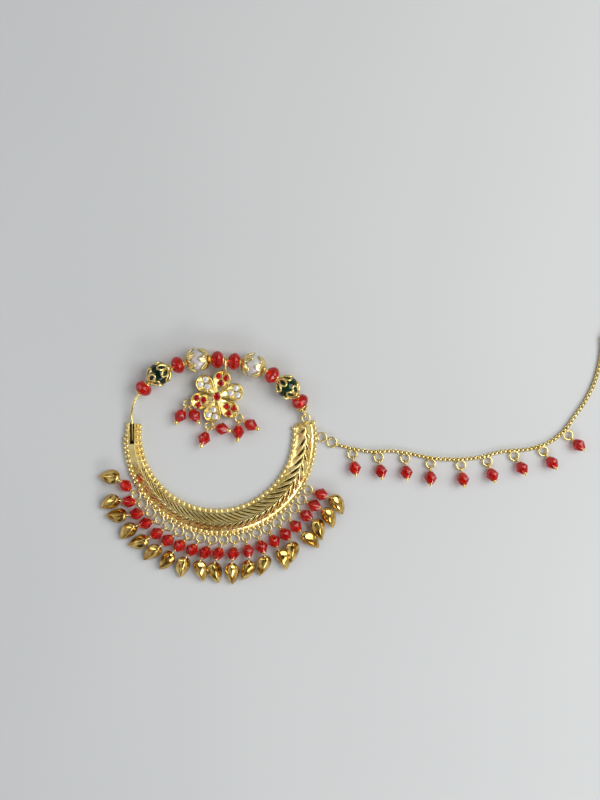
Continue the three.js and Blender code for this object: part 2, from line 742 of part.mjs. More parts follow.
const linkAhead = polar(1, LINK_ANGLE);
const chainLevel = CHAIN_RADIUS + FLOOR_GAP;
const hookEyeRadius = LINK_RING_WIRE + HOOK_WIRE + LOOP_CLEARANCE;
const hookLevel = hookEyeRadius + HOOK_WIRE + FLOOR_GAP;
const linkLength = EYELET_RADIUS + 2 * (LINK_LOOP_RADIUS + LINK_RING_RADIUS);
const chainStart = chainEyelet.clone().addScaledVector(linkAhead, linkLength).setZ(chainLevel);

const chainCurve = new THREE.CatmullRomCurve3(
  [
    chainStart,
    ...CHAIN_ROUTE.map(([x, y], i) => {
      const level = i === CHAIN_ROUTE.length - 1 ? hookLevel : chainLevel;
      return chainEyelet.clone().add(new THREE.Vector3(x, y, 0).multiplyScalar(CHAIN_REACH)).setZ(level);
    }),
  ],
  false,
  "centripetal",
);

function chainDrop({ share, bead }) {
  const onChain = chainCurve.getPointAt(share);
  const beadCentre = onChain.clone().addScaledVector(polar(1, bead), CHAIN_DROP_REACH);
  beadCentre.setZ(BICONE_RADIUS + FLOOR_GAP);
  const ahead = beadCentre.clone().sub(onChain);
  const pin = rod(PIN_WIRE * 1.5, -ahead.length(), -BICONE_HALF / 2, WIRE_SIDES);
  return moved(joined([bicone(END_BALL_RADIUS), pin]), aim(beadCentre, ahead));
}

const chainStartAhead = chainCurve.getTangentAt(0).setZ(0);
const chainStopAhead = chainCurve.getTangentAt(1).setZ(0).normalize();
const startLoop = chainStart.clone()
  .addScaledVector(chainStartAhead, -LINK_LOOP_RADIUS)
  .setZ(EYELET_HEIGHT);
const stopRing = chainCurve.getPointAt(1).addScaledVector(chainStopAhead, CHAIN_END_RING);

function dropChain() {
  const steps = Math.round(chainCurve.getLength() / CHAIN_STEP);
  return joined([
    tube(chainCurve, CHAIN_RADIUS, 8, steps),
    moved(standingRing(LINK_LOOP_RADIUS, LINK_LOOP_WIRE), aim(startLoop, chainStartAhead)),
    flatRing(CHAIN_END_RING, LINK_RING_WIRE).translate(stopRing.toArray()),
    ...CHAIN_DROPS.map(chainDrop),
  ]);
}

// The flat ring between the crescent and the chain, with the small standing loop that holds the eyelet
function linkRing() {
  const away = EYELET_RADIUS + LINK_LOOP_RADIUS + LINK_RING_RADIUS;
  const centre = chainEyelet.clone().addScaledVector(linkAhead, away);
  const loop = chainEyelet.clone().addScaledVector(linkAhead, EYELET_RADIUS);
  return joined([
    flatRing(LINK_RING_RADIUS, LINK_RING_WIRE).translate(centre.toArray()),
    moved(standingRing(LINK_LOOP_RADIUS, LINK_LOOP_WIRE), aim(loop, linkAhead)),
  ]);
}

// A plain hook of bent wire: its eye stands through the chain's last ring
function hairHook() {
  const eye = stopRing.clone().addScaledVector(chainStopAhead, CHAIN_END_RING);
  const drop = HOOK_WIRE + FLOOR_GAP - eye.z;
  const points = [
    new THREE.Vector3(hookEyeRadius, 0, 0),
    new THREE.Vector3(hookEyeRadius + HOOK_SHANK, 0, drop),
  ];
  for (let i = 1; i <= 4; i += 1) {
    const turn = polar(HOOK_BEND_RADIUS, 90 - 50 * i);
    const along = hookEyeRadius + HOOK_SHANK + turn.x;
    points.push(new THREE.Vector3(along, turn.y - HOOK_BEND_RADIUS, drop));
  }
  const wire = tube(new THREE.CatmullRomCurve3(points, false, "centripetal"), HOOK_WIRE, 6, 10);
  return moved(joined([wire, standingRing(hookEyeRadius, HOOK_WIRE)]), aim(eye, chainStopAhead));
}

const ring = new THREE.Group();
ring.position.y = (OUTER_RADIUS + innerEdge(270)) / 2;

function place(name, solid, material, frame) {
  const mesh = meshOf(name, solid, material);
  if (frame) {
    mesh.applyMatrix4(frame);
  }
  ring.add(mesh);
}

place("crescent", crescent(), gold);
place("hoop_wire", hoopWire(), gold);

const beadSolids = {
  rondelle: { solid: rondelle(), material: crystal },
  glass: { solid: cappedBead(GLASS_RADIUS, GLASS_CAP_RADIUS), material: glass },
  pearl: { solid: cappedBead(PEARL_RADIUS, PEARL_CAP_RADIUS), material: pearl },
};
for (const { name, kind } of HOOP_BEADS) {
  const { solid, material } = beadSolids[kind];
  place(name, solid, material, onHoop(beadPlaces[name].middle));
}

place("flower_pendant", flowerPendant(), gold);

const flowerBead = ballBead();
FLOWER_DROPS.forEach(({ loop, bead }, i) => {
  const frame = hanging(pendantLoopPlaces[loop], PENDANT_LOOP_RADIUS, bead);
  place(`flower_drop_${i + 1}`, flowerBead, crystal, frame);
});

const fringeSolid = fringeBead();
const leafSolid = leaf();
FRINGE.forEach((row, i) => {
  const frame = hanging(eyelets[i], EYELET_RADIUS, row.bead);
  place(`fringe_bead_${i + 1}`, fringeSolid, crystal, frame);
  place(`leaf_${i + 1}`, leafSolid, gold, leafFrame(frame, row));
});

place("link_ring", linkRing(), gold);
place("drop_chain", dropChain(), gold);
place("hair_hook", hairHook(), gold);

const nath = new THREE.Group();
nath.add(ring);
export default nath;
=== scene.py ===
"""Looks of a bridal nath nose ring, piece by piece in the order in which it is put together.

Pieces are drawn in millimetres about the ring's centre and become metres when they are finished.
"""

import math
import random

import bmesh
import bpy
from mathutils import Matrix, Vector


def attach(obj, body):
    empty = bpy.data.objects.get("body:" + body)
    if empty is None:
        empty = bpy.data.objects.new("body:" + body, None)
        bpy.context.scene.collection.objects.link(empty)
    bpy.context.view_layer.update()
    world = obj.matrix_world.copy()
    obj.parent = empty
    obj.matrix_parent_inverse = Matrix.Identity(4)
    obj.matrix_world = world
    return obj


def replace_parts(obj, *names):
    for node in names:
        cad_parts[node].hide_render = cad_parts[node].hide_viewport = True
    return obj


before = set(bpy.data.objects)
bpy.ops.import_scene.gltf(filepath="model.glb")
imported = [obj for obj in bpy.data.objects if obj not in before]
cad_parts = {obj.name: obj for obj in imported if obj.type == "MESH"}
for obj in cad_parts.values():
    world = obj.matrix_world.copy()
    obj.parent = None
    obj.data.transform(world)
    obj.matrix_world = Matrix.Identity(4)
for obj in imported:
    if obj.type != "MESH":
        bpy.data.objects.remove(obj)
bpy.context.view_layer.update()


# Crescent. A cast gold-plated band, wide at the bottom, with a raised spine. Chevron strokes are
# chased into it, shallow at the left and cut deep into lens shapes towards the hinge.

MM = 0.001
MERGE_DISTANCE = 1e-4
OUTER_RADIUS = 30.2
BAND_WIDTH = 6.9
INNER_RADIUS = OUTER_RADIUS - BAND_WIDTH
INNER_SHIFT = Vector((-0.16, 0.232)) * BAND_WIDTH
LEFT_END = 170
RIGHT_END = 371.5
BORDER_WIDTH = BAND_WIDTH * 0.21
LEDGE_HEIGHT = 0.5
GRAIN_LEDGE = 0.36
BODY_FOOT = 1.4
CREST_HEIGHT = 3.28
ROUND_SHARE = 0.55
RIDGE_SHARE = 0.45
RIDGE_POWER = 1.15
END_ROUNDING = 4.5
END_CORNER = 1.5
STROKE_COLUMNS = 12
HALF_ROWS = 16

# how far the spine lies from the band's middle towards its outer border, as a share, at the left
# and at the right, and the angles between which it crosses over
LEFT_CREST_BIAS = -0.4
CREST_BIAS = 0.1
CREST_SHIFT = (205, 245)

# depth, half width and darkness of the line scribed beside each stroke, and the least height that
# the cuts leave
LINE_DEPTH = 0.08
LINE_WIDTH = (0.2, 0.02)
LINE_DARKNESS = 0.5
CUT_FLOOR = LEDGE_HEIGHT + 0.3

# how bluntly a pocket ends, how steep its walls are, how deep it is at its ends, the window below
# which it closes, and the depth from which it counts as fully cut
POCKET_TAPER = 0.7
POCKET_WALL = 0.2
POCKET_END = 0.4
POCKET_LEAST = 0.05
POCKET_FULL = 0.3

# angle, pitch of the strokes, how far a stroke leans along the band in its outer and inner half
STROKES = [
    (170, 6.0, 0, 0),
    (195, 5.6, 9, 13),
    (215, 5.0, 10, 15),
    (240, 4.1, 9, 14),
    (290, 4.1, 8, 13),
    (345, 6.6, 9, 11),
    (360, 6.6, 7, 9),
    (371.5, 6.6, 0, 0),
]

# angle, width of the pocket between two strokes as a share of the pitch, where it starts and ends
# between the spine (0) and the border (1), its depth, and how far the stroke bulges
OUTER_CHASING = [
    (196, 0.40, 0.10, 0.60, 0.00, 0.00),
    (215, 0.45, 0.02, 0.60, 0.22, 0.03),
    (255, 0.48, 0.02, 0.75, 0.44, 0.08),
    (280, 0.50, 0.02, 0.62, 0.55, 0.16),
    (362, 0.42, 0.02, 0.50, 0.55, 0.18),
    (369, 0.40, 0.02, 0.50, 0.00, 0.00),
]
INNER_CHASING = [
    (190, 0.50, 0.10, 0.85, 0.00, 0.00),
    (203, 0.55, 0.02, 0.85, 0.26, 0.04),
    (232, 0.46, 0.02, 0.97, 0.46, 0.10),
    (310, 0.48, 0.02, 0.97, 0.54, 0.12),
    (330, 0.60, 0.02, 0.62, 0.60, 0.16),
    (362, 0.50, 0.02, 0.55, 0.60, 0.18),
    (369, 0.40, 0.02, 0.50, 0.00, 0.00),
]


def polar(radius, degrees, height=0.0):
    turn = math.radians(degrees)
    return Vector((radius * math.cos(turn), radius * math.sin(turn), height))


def inner_edge(degrees):
    """Distance from the ring's centre to the crescent's inner edge."""
    ray = polar(1, degrees).xy
    along = ray.dot(INNER_SHIFT)
    return along + math.sqrt(INNER_RADIUS**2 - INNER_SHIFT.length_squared + along**2)


def share_of(low, high, value):
    """How far a value lies between two others, from 0 to 1."""
    return min(max((value - low) / (high - low), 0), 1)


def smooth(low, high, value):
    share = share_of(low, high, value)
    return share * share * (3 - 2 * share)


def mix(low, high, share):
    return low + (high - low) * share


RING_CENTRE = Vector((0, (OUTER_RADIUS + inner_edge(270)) / 2, 0))


def mesh_of(bm, name):
    """The drawn mesh, kept for stamping or for an object."""
    mesh = bpy.data.meshes.new(name)
    bm.to_mesh(mesh)
    bm.free()
    return mesh


def shown(name, data):
    """An object of the scene with a mesh, a lamp or a camera."""
    made = bpy.data.objects.new(name, data)
    bpy.context.scene.collection.objects.link(made)
    return made


def finished(bm, name, body, material, flat=False):
    """The drawn mesh in metres, as a piece of the scene that moves with a body."""
    bmesh.ops.translate(bm, verts=bm.verts, vec=RING_CENTRE)
    bmesh.ops.scale(bm, verts=bm.verts, vec=(MM, MM, MM))
    mesh = mesh_of(bm, name)
    mesh.materials.append(material)
    if flat:
        mesh.shade_flat()
    else:
        mesh.shade_smooth()
    piece = shown(name, mesh)
    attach(piece, body)
    return piece


def close_seam(bm):
    """Merges the two edges of a grid that was rolled up, and turns its faces outwards."""
    bmesh.ops.remove_doubles(bm, verts=bm.verts, dist=MERGE_DISTANCE)
    bmesh.ops.holes_fill(bm, edges=[e for e in bm.edges if e.is_boundary], sides=0)
    bmesh.ops.recalc_face_normals(bm, faces=bm.faces)


def row_at(table, place):
    """The values of a table's columns at a place between two of its rows."""
    place = min(max(place, table[0][0]), table[-1][0])
    for low, high in zip(table, table[1:]):
        if place <= high[0]:
            share = (place - low[0]) / (high[0] - low[0])
            return [mix(a, b, share) for a, b in zip(low[1:], high[1:])]


def chasing(degrees, phase, away, inner_half):
    """Height and darkness of the strokes, from the spine (away 0) to the border (away 1)."""
    table = INNER_CHASING if inner_half else OUTER_CHASING
    width, near, far, depth, swell = row_at(table, degrees)
    off = abs(2 * ((phase + 0.5 * inner_half) % 1) - 1)
    window = math.sin(math.pi * share_of(near, far, away)) ** POCKET_TAPER
    cut = 0
    if window > POCKET_LEAST:
        cut = smooth(width * window, width * window * POCKET_WALL, 1 - off)
    full = smooth(0, POCKET_FULL, depth)
    line = smooth(*LINE_WIDTH, 1 - off) * smooth(1, 0.8, away) * full
    ridge = swell * (1 - off * off) * smooth(1, 0.5, away)
    relief = ridge - depth * cut * mix(POCKET_END, 1, window) - LINE_DEPTH * line
    # the darkness is brown patina and painted shade in the pockets and scribed lines, stronger where
    # they are cut deeper
    return relief, max(cut, LINE_DARKNESS * line) * full


def end_fall(degrees):
    """1 along the band, falling to 0 in a quarter circle at its right end."""
    return math.sqrt(1 - share_of(RIGHT_END - END_ROUNDING, RIGHT_END, degrees) ** 2)


def body_height(degrees, away):
    """The band's plain form under the chasing, rounded down at its right end."""
    round_part = ROUND_SHARE * (0.5 + 0.5 * math.cos(math.pi * away))
    roof = round_part + RIDGE_SHARE * (1 - away) ** RIDGE_POWER
    return mix(LEDGE_HEIGHT, mix(BODY_FOOT, CREST_HEIGHT, roof), end_fall(degrees))


def crescent_section(degrees, phase):
    """Points of one cross-section from the back's outer edge over the spine to its inner edge."""
    _, lean_out, lean_in = row_at(STROKES, degrees)
    corner = END_CORNER * (1 - end_fall(degrees))
    ledge = GRAIN_LEDGE + corner
    outer = OUTER_RADIUS - ledge
    points = [(polar(outer, degrees - lean_out, height), 0) for height in (0, LEDGE_HEIGHT)]
    for inner_half in (False, True):
        steps = range(HALF_ROWS + 1) if inner_half else range(HALF_ROWS, 0, -1)
        for i in steps:
            away = i / HALF_ROWS
            at = degrees - (lean_in if inner_half else lean_out) * away
            border = BORDER_WIDTH + corner / 2
            rims = (OUTER_RADIUS - border, inner_edge(at) + border)
            bias = mix(LEFT_CREST_BIAS, CREST_BIAS, smooth(*CREST_SHIFT, at))
            spine = mix(sum(rims) / 2, rims[0], bias)
            relief, dark = chasing(at, phase, away, inner_half)
            height = max(body_height(at, away) + relief, CUT_FLOOR)
            points.append((polar(mix(spine, rims[inner_half], away), at, height), dark))
    inner = inner_edge(degrees - lean_in) + ledge
    return points + [(polar(inner, degrees - lean_in, height), 0) for height in (LEDGE_HEIGHT, 0)]


def crescent_columns():
    """Angle at the spine and phase within the strokes for each cross-section."""
    columns, degrees, phase = [], LEFT_END, 0.0
    while degrees < RIGHT_END:
        columns.append((degrees, phase))
        degrees += row_at(STROKES, degrees)[0] / STROKE_COLUMNS
        phase += 1 / STROKE_COLUMNS
    return columns + [(RIGHT_END, phase)]


def crescent_band():
    sections = [crescent_section(degrees, phase) for degrees, phase in crescent_columns()]
    rows = len(sections[0])
    bm = bmesh.new()
    # each point's darkness: patina and painted shade in the chased grooves
    groove = bm.verts.layers.float.new("groove")
    bmesh.ops.create_grid(bm, x_segments=rows, y_segments=len(sections) - 1, size=1)
    bm.verts.ensure_lookup_table()
    for i, vert in enumerate(bm.verts):
        place, dark = sections[i // (rows + 1)][i % (rows + 1) % rows]
        vert.co = place
        vert[groove] = dark
    close_seam(bm)
    return bm


def node(tree, kind, inputs=None, **values):
    """A shader node with its settings; an input is a value or another node's output."""
    made = tree.nodes.new(kind)
    for key, value in values.items():
        setattr(made, key, value)
    for key, value in (inputs or {}).items():
        if isinstance(value, bpy.types.NodeSocket):
            tree.links.new(value, made.inputs[key])
        else:
            made.inputs[key].default_value = value
    return made


def new_material(name):
    material = bpy.data.materials.new(name)
    material.use_nodes = True
    return material, material.node_tree, material.node_tree.nodes["Principled BSDF"]


def ramp(tree, factor, stops):
    """A colour ramp through (place, colour) stops."""
    made = node(tree, "ShaderNodeValToRGB", {"Fac": factor})
    elements = made.color_ramp.elements
    for i, (place, colour) in enumerate(stops):
        element = elements[i] if i < 2 else elements.new(place)
        element.position = place
        element.color = (*colour, 1)
    return made.outputs["Color"]


# places of the colours and of the result among a mix node's sockets
MIX_A, MIX_B, MIX_RESULT = 6, 7, 2
# the brown of the grooves, partly patina left in them and partly painted shade
GROOVE_BROWN = (0.045, 0.02, 0.006, 1)
GROOVE_STRENGTH = 0.9


def gold_metal(name, low, high, roughness, cloud_scale=260, dents=0.12):
    """Gold plate, uneven in tone between two colours, with brown painted where the groove value is
    high: patina and painted shade in the crescent's cut grooves, painted shade on the hoop's tip.
    """
    material, tree, shader = new_material(name)
    place = node(tree, "ShaderNodeTexCoord").outputs["Object"]
    cloud = node(tree, "ShaderNodeTexNoise", {"Vector": place, "Scale": cloud_scale, "Detail": 3})
    tone = ramp(tree, cloud.outputs["Fac"], [(0.35, low), (0.65, high)])
    groove = node(tree, "ShaderNodeAttribute", attribute_name="groove").outputs["Fac"]
    patina_and_shade = node(tree, "ShaderNodeMath", {0: groove, 1: GROOVE_STRENGTH}, operation="MULTIPLY")
    colour = node(
        tree,
        "ShaderNodeMix",
        {0: patina_and_shade.outputs[0], MIX_A: tone, MIX_B: GROOVE_BROWN},
        data_type="RGBA",
    )
    grain = node(tree, "ShaderNodeTexNoise", {"Vector": place, "Scale": 2200, "Detail": 2})
    rough = node(
        tree,
        "ShaderNodeMapRange",
        {
            "Value": grain.outputs["Fac"],
            "From Min": 0.3,
            "From Max": 0.7,
            "To Min": roughness - 0.05,
            "To Max": roughness + 0.06,
        },
    )
    bump = node(
        tree,
        "ShaderNodeBump",
        {"Height": grain.outputs["Fac"], "Strength": dents, "Distance": 0.00004},
    )
    tree.links.new(colour.outputs[MIX_RESULT], shader.inputs["Base Color"])
    tree.links.new(rough.outputs["Result"], shader.inputs["Roughness"])
    tree.links.new(bump.outputs["Normal"], shader.inputs["Normal"])
    shader.inputs["Metallic"].default_value = 1
    return material


gold = gold_metal("cast_gold", (0.86, 0.66, 0.22), (1.0, 0.84, 0.4), 0.21)
satin = gold_metal("satin_gold", (0.84, 0.67, 0.29), (0.97, 0.82, 0.44), 0.32, 900)
# painted shade: the dark brown gold of the tray that stands for the shade inside the socket
slot_shade_brown = gold_metal("slot_shade_brown", (0.1, 0.06, 0.02), (0.3, 0.2, 0.06), 0.4, 900)

SLOT_WIDTH = 1.6
SLOT_LENGTH = 6.4
SLOT_FLOOR = 1.15
SLOT_X = -(inner_edge(180) + OUTER_RADIUS) / 2
SLOT_MOUTH = polar((inner_edge(LEFT_END) + OUTER_RADIUS) / 2, LEFT_END).y
SLOT_TOP = SLOT_MOUTH + SLOT_WIDTH
SLOT_BOTTOM = SLOT_MOUTH - SLOT_LENGTH
SLOT_REACH = SLOT_TOP - SLOT_BOTTOM
LEFT_END_TOP = 4.6
# height, wall, gap and reach of the dark tray that paints the shade inside the socket
SHADE_TRAY_HEIGHT = 1.2
SHADE_TRAY_WALL = 0.06
SHADE_TRAY_GAP = 0.04
SHADE_TRAY_REACH = LEFT_END_TOP - SLOT_BOTTOM


def box(size, centre):
    bm = bmesh.new()
    bmesh.ops.create_cube(bm, size=1)
    bmesh.ops.scale(bm, verts=bm.verts, vec=size)
    bmesh.ops.translate(bm, verts=bm.verts, vec=centre)
    return bm


def cut_slot(piece):
    """Cuts the socket for the hoop's tip out of the crescent's open end."""
    centre = Vector((SLOT_X, (SLOT_TOP + SLOT_BOTTOM) / 2, SLOT_FLOOR + CREST_HEIGHT))
    bm = box(Vector((SLOT_WIDTH, SLOT_REACH, CREST_HEIGHT * 2)), centre + RING_CENTRE)
    bmesh.ops.scale(bm, verts=bm.verts, vec=(MM, MM, MM))
    cutter = shown("slot_cutter", mesh_of(bm, "slot_cutter"))
    cut = piece.modifiers.new("slot", "BOOLEAN")
    cut.operation = "DIFFERENCE"
    cut.object = cutter
    bpy.context.view_layer.objects.active = piece
    bpy.ops.object.modifier_apply(modifier=cut.name)
    bpy.data.objects.remove(cutter)


def slot_shade_tray():
    """Painted shade inside the socket: a thin dark tray, open above, that stands for the shade in the
    recess.
    """
    length = (SLOT_REACH - SHADE_TRAY_GAP) * (SHADE_TRAY_REACH / SLOT_REACH)
    height = SLOT_FLOOR + SHADE_TRAY_GAP / 2 + SHADE_TRAY_HEIGHT / 2
    centre = Vector((SLOT_X, (LEFT_END_TOP + SLOT_BOTTOM) / 2, height))
    bm = box(Vector((SLOT_WIDTH - SHADE_TRAY_GAP, length, SHADE_TRAY_HEIGHT)), centre)
    top = [face for face in bm.faces if face.normal.z > 0.5]
    bmesh.ops.delete(bm, geom=top, context="FACES_ONLY")
    bmesh.ops.solidify(bm, geom=[*bm.verts, *bm.edges, *bm.faces], thickness=SHADE_TRAY_WALL)
    return bm


crescent = finished(crescent_band(), "crescent_band", "crescent", gold)
cut_slot(crescent)
# a dark tray in the socket: painted shade
finished(slot_shade_tray(), "slot_shade_tray", "crescent", slot_shade_brown)
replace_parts(crescent, "crescent")


# Grains and rings of the crescent. Two rows of small gold balls are soldered along its edges, the
# outer one doubled by smaller balls at the left, and cast rings stand along the outer edge.

INNER_GRAIN = 0.68
OUTER_GRAIN = 0.68
SMALL_GRAIN = 0.56
GRAIN_PITCH = 1.72
GRAIN_HEIGHT = 0.92
GRAIN_GROWTH = 0.07
FIRST_GRAIN = 171.3
SMALL_GRAIN_INSET = 0.25

# how far inside the edge the outer row lies at the left and at the right, and the angles between
OUTER_ROW_INSETS = (1.0, 0.7)
OUTER_ROW_SHIFT = (295, 312)

EYELET_RADIUS = 1.35
EYELET_WIRE = 0.28
EYELET_HEIGHT = 1.0
EYELET_DISTANCE = OUTER_RADIUS + EYELET_RADIUS + 0.05
EYELET_PITCH = 3.546
EYELET_COUNT = 19
FRINGE_MIDDLE = 271.7
CHAIN_EYELET_ANGLE = 0.8
HINGE_ANGLE = 13.5
HINGE_PLACE = polar(mix(inner_edge(HINGE_ANGLE), OUTER_RADIUS, 0.628), HINGE_ANGLE, 1.6)
HINGE_EYE_RADIUS = 1.25
HINGE_EYE_WIRE = 0.3
LOOP_SIDES = 20
UP = Vector((0, 0, 1))

# turns of a loop that stands in the X-Z plane: to lie flat, and to stand across the X axis
LYING = Matrix.Rotation(math.pi / 2, 4, "X")
ACROSS = Matrix.Rotation(math.pi / 2, 4, "Z")


def stamp(bm, shape, place):
    """Adds a copy of a kept mesh at a place."""
    first = len(bm.verts)
    bm.from_mesh(shape)
    bm.verts.ensure_lookup_table()
    bmesh.ops.transform(bm, matrix=place, verts=bm.verts[first:])


def stamped(shape, places):
    bm = bmesh.new()
    for place in places:
        stamp(bm, shape, place)
    return bm


def sized(place, size):
    """A place given by a point, with an even or uneven size."""
    sizes = Vector((size, size, size)) if isinstance(size, (int, float)) else Vector(size)
    return Matrix.Translation(place) @ Matrix.Diagonal(sizes).to_4x4()


def tube(bm, path, radius, sides=6, closed=False):
    """A round wire along a path."""
    count = len(path)
    wire = bmesh.new()
    bmesh.ops.create_grid(wire, x_segments=sides, y_segments=count - 1 + closed, size=1)
    wire.verts.ensure_lookup_table()
    normal = None
    for i in range(count + closed):
        k = i % count
        before = path[k - 1] if closed or k > 0 else path[k]
        after = path[(k + 1) % count] if closed or k + 1 < count else path[k]
        ahead = (after - before).normalized()
        if normal is None:
            upright = abs(ahead.z) > 0.99
            normal = start = (ahead.orthogonal() if upright else ahead.cross(UP)).normalized()
        normal = start if i == count else (normal - ahead * normal.dot(ahead)).normalized()
        side = ahead.cross(normal)
        for j in range(sides + 1):
            turn = math.tau * (j % sides) / sides
            offset = (normal * math.cos(turn) + side * math.sin(turn)) * radius
            wire.verts[i * (sides + 1) + j].co = path[k] + offset
    close_seam(wire)
    bm.from_mesh(mesh_of(wire, "wire"))


def wire_loop(name, radius, wire, stretch=0.0):
    """A round or drawn-out closed loop of wire that stands in the X-Z plane."""
    path = []
    for i in range(LOOP_SIDES):
        turn = math.tau * (i + 0.5) / LOOP_SIDES
        out = radius * math.cos(turn)
        path.append(Vector((out + math.copysign(stretch, out), 0, radius * math.sin(turn))))
    bm = bmesh.new()
    tube(bm, path, wire, sides=8, closed=True)
    return mesh_of(bm, name)


def ball_shape():
    bm = bmesh.new()
    bmesh.ops.create_icosphere(bm, subdivisions=2, radius=1)
    return mesh_of(bm, "grain")


ball = ball_shape()


def inner_row(degrees):
    return inner_edge(degrees) + INNER_GRAIN


def outer_row(degrees):
    return OUTER_RADIUS - mix(*OUTER_ROW_INSETS, smooth(*OUTER_ROW_SHIFT, degrees))


def small_row(_):
    return OUTER_RADIUS - SMALL_GRAIN_INSET


# each row's distance from the ring's centre, first and last angle, pitch, grain and disorder
GRAIN_ROWS = [
    (inner_row, FIRST_GRAIN, 368, GRAIN_PITCH, INNER_GRAIN, 0.04),
    (outer_row, FIRST_GRAIN, 371.2, GRAIN_PITCH * 0.95, OUTER_GRAIN, 0.06),
    (small_row, 180, 303, GRAIN_PITCH * 0.8, SMALL_GRAIN, 0.12),
]


def crescent_grains():
    """Rows of balls along the crescent's edges, each ball a little out of line."""
    dice = random.Random(4)
    bm = bmesh.new()
    for row, degrees, last, pitch, size, jitter in GRAIN_ROWS:
        while degrees < last:
            radius = row(degrees) + dice.uniform(-jitter, jitter)
            grown = size * dice.uniform(1 - GRAIN_GROWTH, 1 + GRAIN_GROWTH)
            lift = GRAIN_HEIGHT + (size - INNER_GRAIN) + dice.uniform(-jitter, jitter) / 2
            stamp(bm, ball, sized(polar(radius, degrees, lift), grown))
            step = math.degrees(pitch / radius)
            degrees += step * dice.uniform(1 - jitter / 2, 1 + jitter / 2)
    return bm


def eyelet_places():
    pitch = math.degrees(EYELET_PITCH / EYELET_DISTANCE)
    first = FRINGE_MIDDLE - (EYELET_COUNT - 1) / 2 * pitch
    angles = [first + i * pitch for i in range(EYELET_COUNT)]
    return [polar(EYELET_DISTANCE, angle, EYELET_HEIGHT) for angle in angles]


eyelets = eyelet_places()
chain_eyelet = polar(EYELET_DISTANCE, CHAIN_EYELET_ANGLE, EYELET_HEIGHT)


def crescent_rings():
    rings = [Matrix.Translation(place) @ LYING for place in [*eyelets, chain_eyelet]]
    bm = stamped(wire_loop("eyelet", EYELET_RADIUS, EYELET_WIRE), rings)
    hinge_eye = wire_loop("hinge_eye", HINGE_EYE_RADIUS, HINGE_EYE_WIRE)
    stamp(bm, hinge_eye, Matrix.Translation(HINGE_PLACE) @ LYING)
    return bm


finished(crescent_grains(), "crescent_grains", "crescent", satin)
finished(crescent_rings(), "crescent_rings", "crescent", satin)


# Hoop. A gold wire bent over the beads, pushed into the socket at the left and looped through the
# hinge eye at the right, with a small petalled cap behind its last bead.

HOOP_WIRE = 0.4
HOOP_LOW = 1.9
HOOP_HIGH = 3.95
TIP_INSET = 0.9
TIP_SIDE = 0.12
MOUTH_SIDE = -0.08
MOUTH_INSET = 1.4
# how dark the hoop's tip is painted inside the socket: painted shade
TIP_SHADE = 0.85
HINGE_LOOP_RADIUS = 0.95
HINGE_LOOP_ANGLE = 108
ROUTE_STEPS = 16

# angle about the ring's centre, distance as a share of the outer radius, share of the rise
HOOP_ROUTE = [
    (165, 0.944, 0.03),
    (156.3, 0.956, 0.35),
    (146.5, 0.935, 0.75),
    (133.1, 0.906, 1),
    (119.5, 0.867, 1),
    (105.4, 0.838, 1),
    (91.7, 0.811, 1),
    (79.4, 0.805, 1),
    (65.4, 0.824, 1),
    (50.6, 0.843, 1),
    (37.1, 0.872, 1),
    (25, 0.904, 0.42),
]


def through(points):
    """A smooth route through points, as many short straight lines."""
    ends = [points[0] * 2 - points[1], *points, points[-1] * 2 - points[-2]]
    route = []
    for i in range(len(points) - 1):
        a, b, c, d = ends[i : i + 4]
        gaps = [max((q - p).length ** 0.5, 1e-3) for p, q in ((a, b), (b, c), (c, d))]
        leave = (b - a) / gaps[0] - (c - a) / (gaps[0] + gaps[1]) + (c - b) / gaps[1]
        reach = (c - b) / gaps[1] - (d - b) / (gaps[1] + gaps[2]) + (d - c) / gaps[2]
        leave, reach = leave * gaps[1], reach * gaps[1]
        cubic = 2 * b - 2 * c + leave + reach
        square = 3 * c - 3 * b - 2 * leave - reach
        for j in range(ROUTE_STEPS):
            t = j / ROUTE_STEPS
            route.append(b + leave * t + square * t**2 + cubic * t**3)
    return route + [points[-1]]


def route_length(route):
    return sum((b - a).length for a, b in zip(route, route[1:]))


def along(route, distance):
    """The point and direction at a distance along a route."""
    for a, b in zip(route, route[1:]):
        step = (b - a).length
        if distance <= step:
            break
        distance -= step
    return a + (b - a) * min(distance / step, 1), (b - a).normalized()


def aim(place, ahead):
    """A place whose X axis points ahead and whose Z axis is as upright as it can be."""
    ahead = ahead.normalized()
    side = UP.cross(ahead).normalized()
    turn = Matrix((ahead, side, ahead.cross(side))).transposed()
    return Matrix.Translation(place) @ turn.to_4x4()


hinge_ahead = polar(1, HINGE_LOOP_ANGLE)
hoop_route = through([
    Vector((SLOT_X + TIP_SIDE, SLOT_BOTTOM + TIP_INSET, HOOP_LOW)),
    Vector((SLOT_X + MOUTH_SIDE, SLOT_TOP - MOUTH_INSET, HOOP_LOW)),
    *(
        polar(OUTER_RADIUS * reach, turn, mix(HOOP_LOW, HOOP_HIGH, lift))
        for turn, reach, lift in HOOP_ROUTE
    ),
    HINGE_PLACE + hinge_ahead * (HINGE_EYE_RADIUS + HINGE_LOOP_RADIUS),
])
hoop_length = route_length(hoop_route)


def on_hoop(distance):
    """A place on the hoop's wire at a distance from the hinge, with X towards the hinge."""
    return aim(*along(hoop_route, hoop_length - distance))


PETAL_STEPS = 10
PETAL_FOLD = 0.1


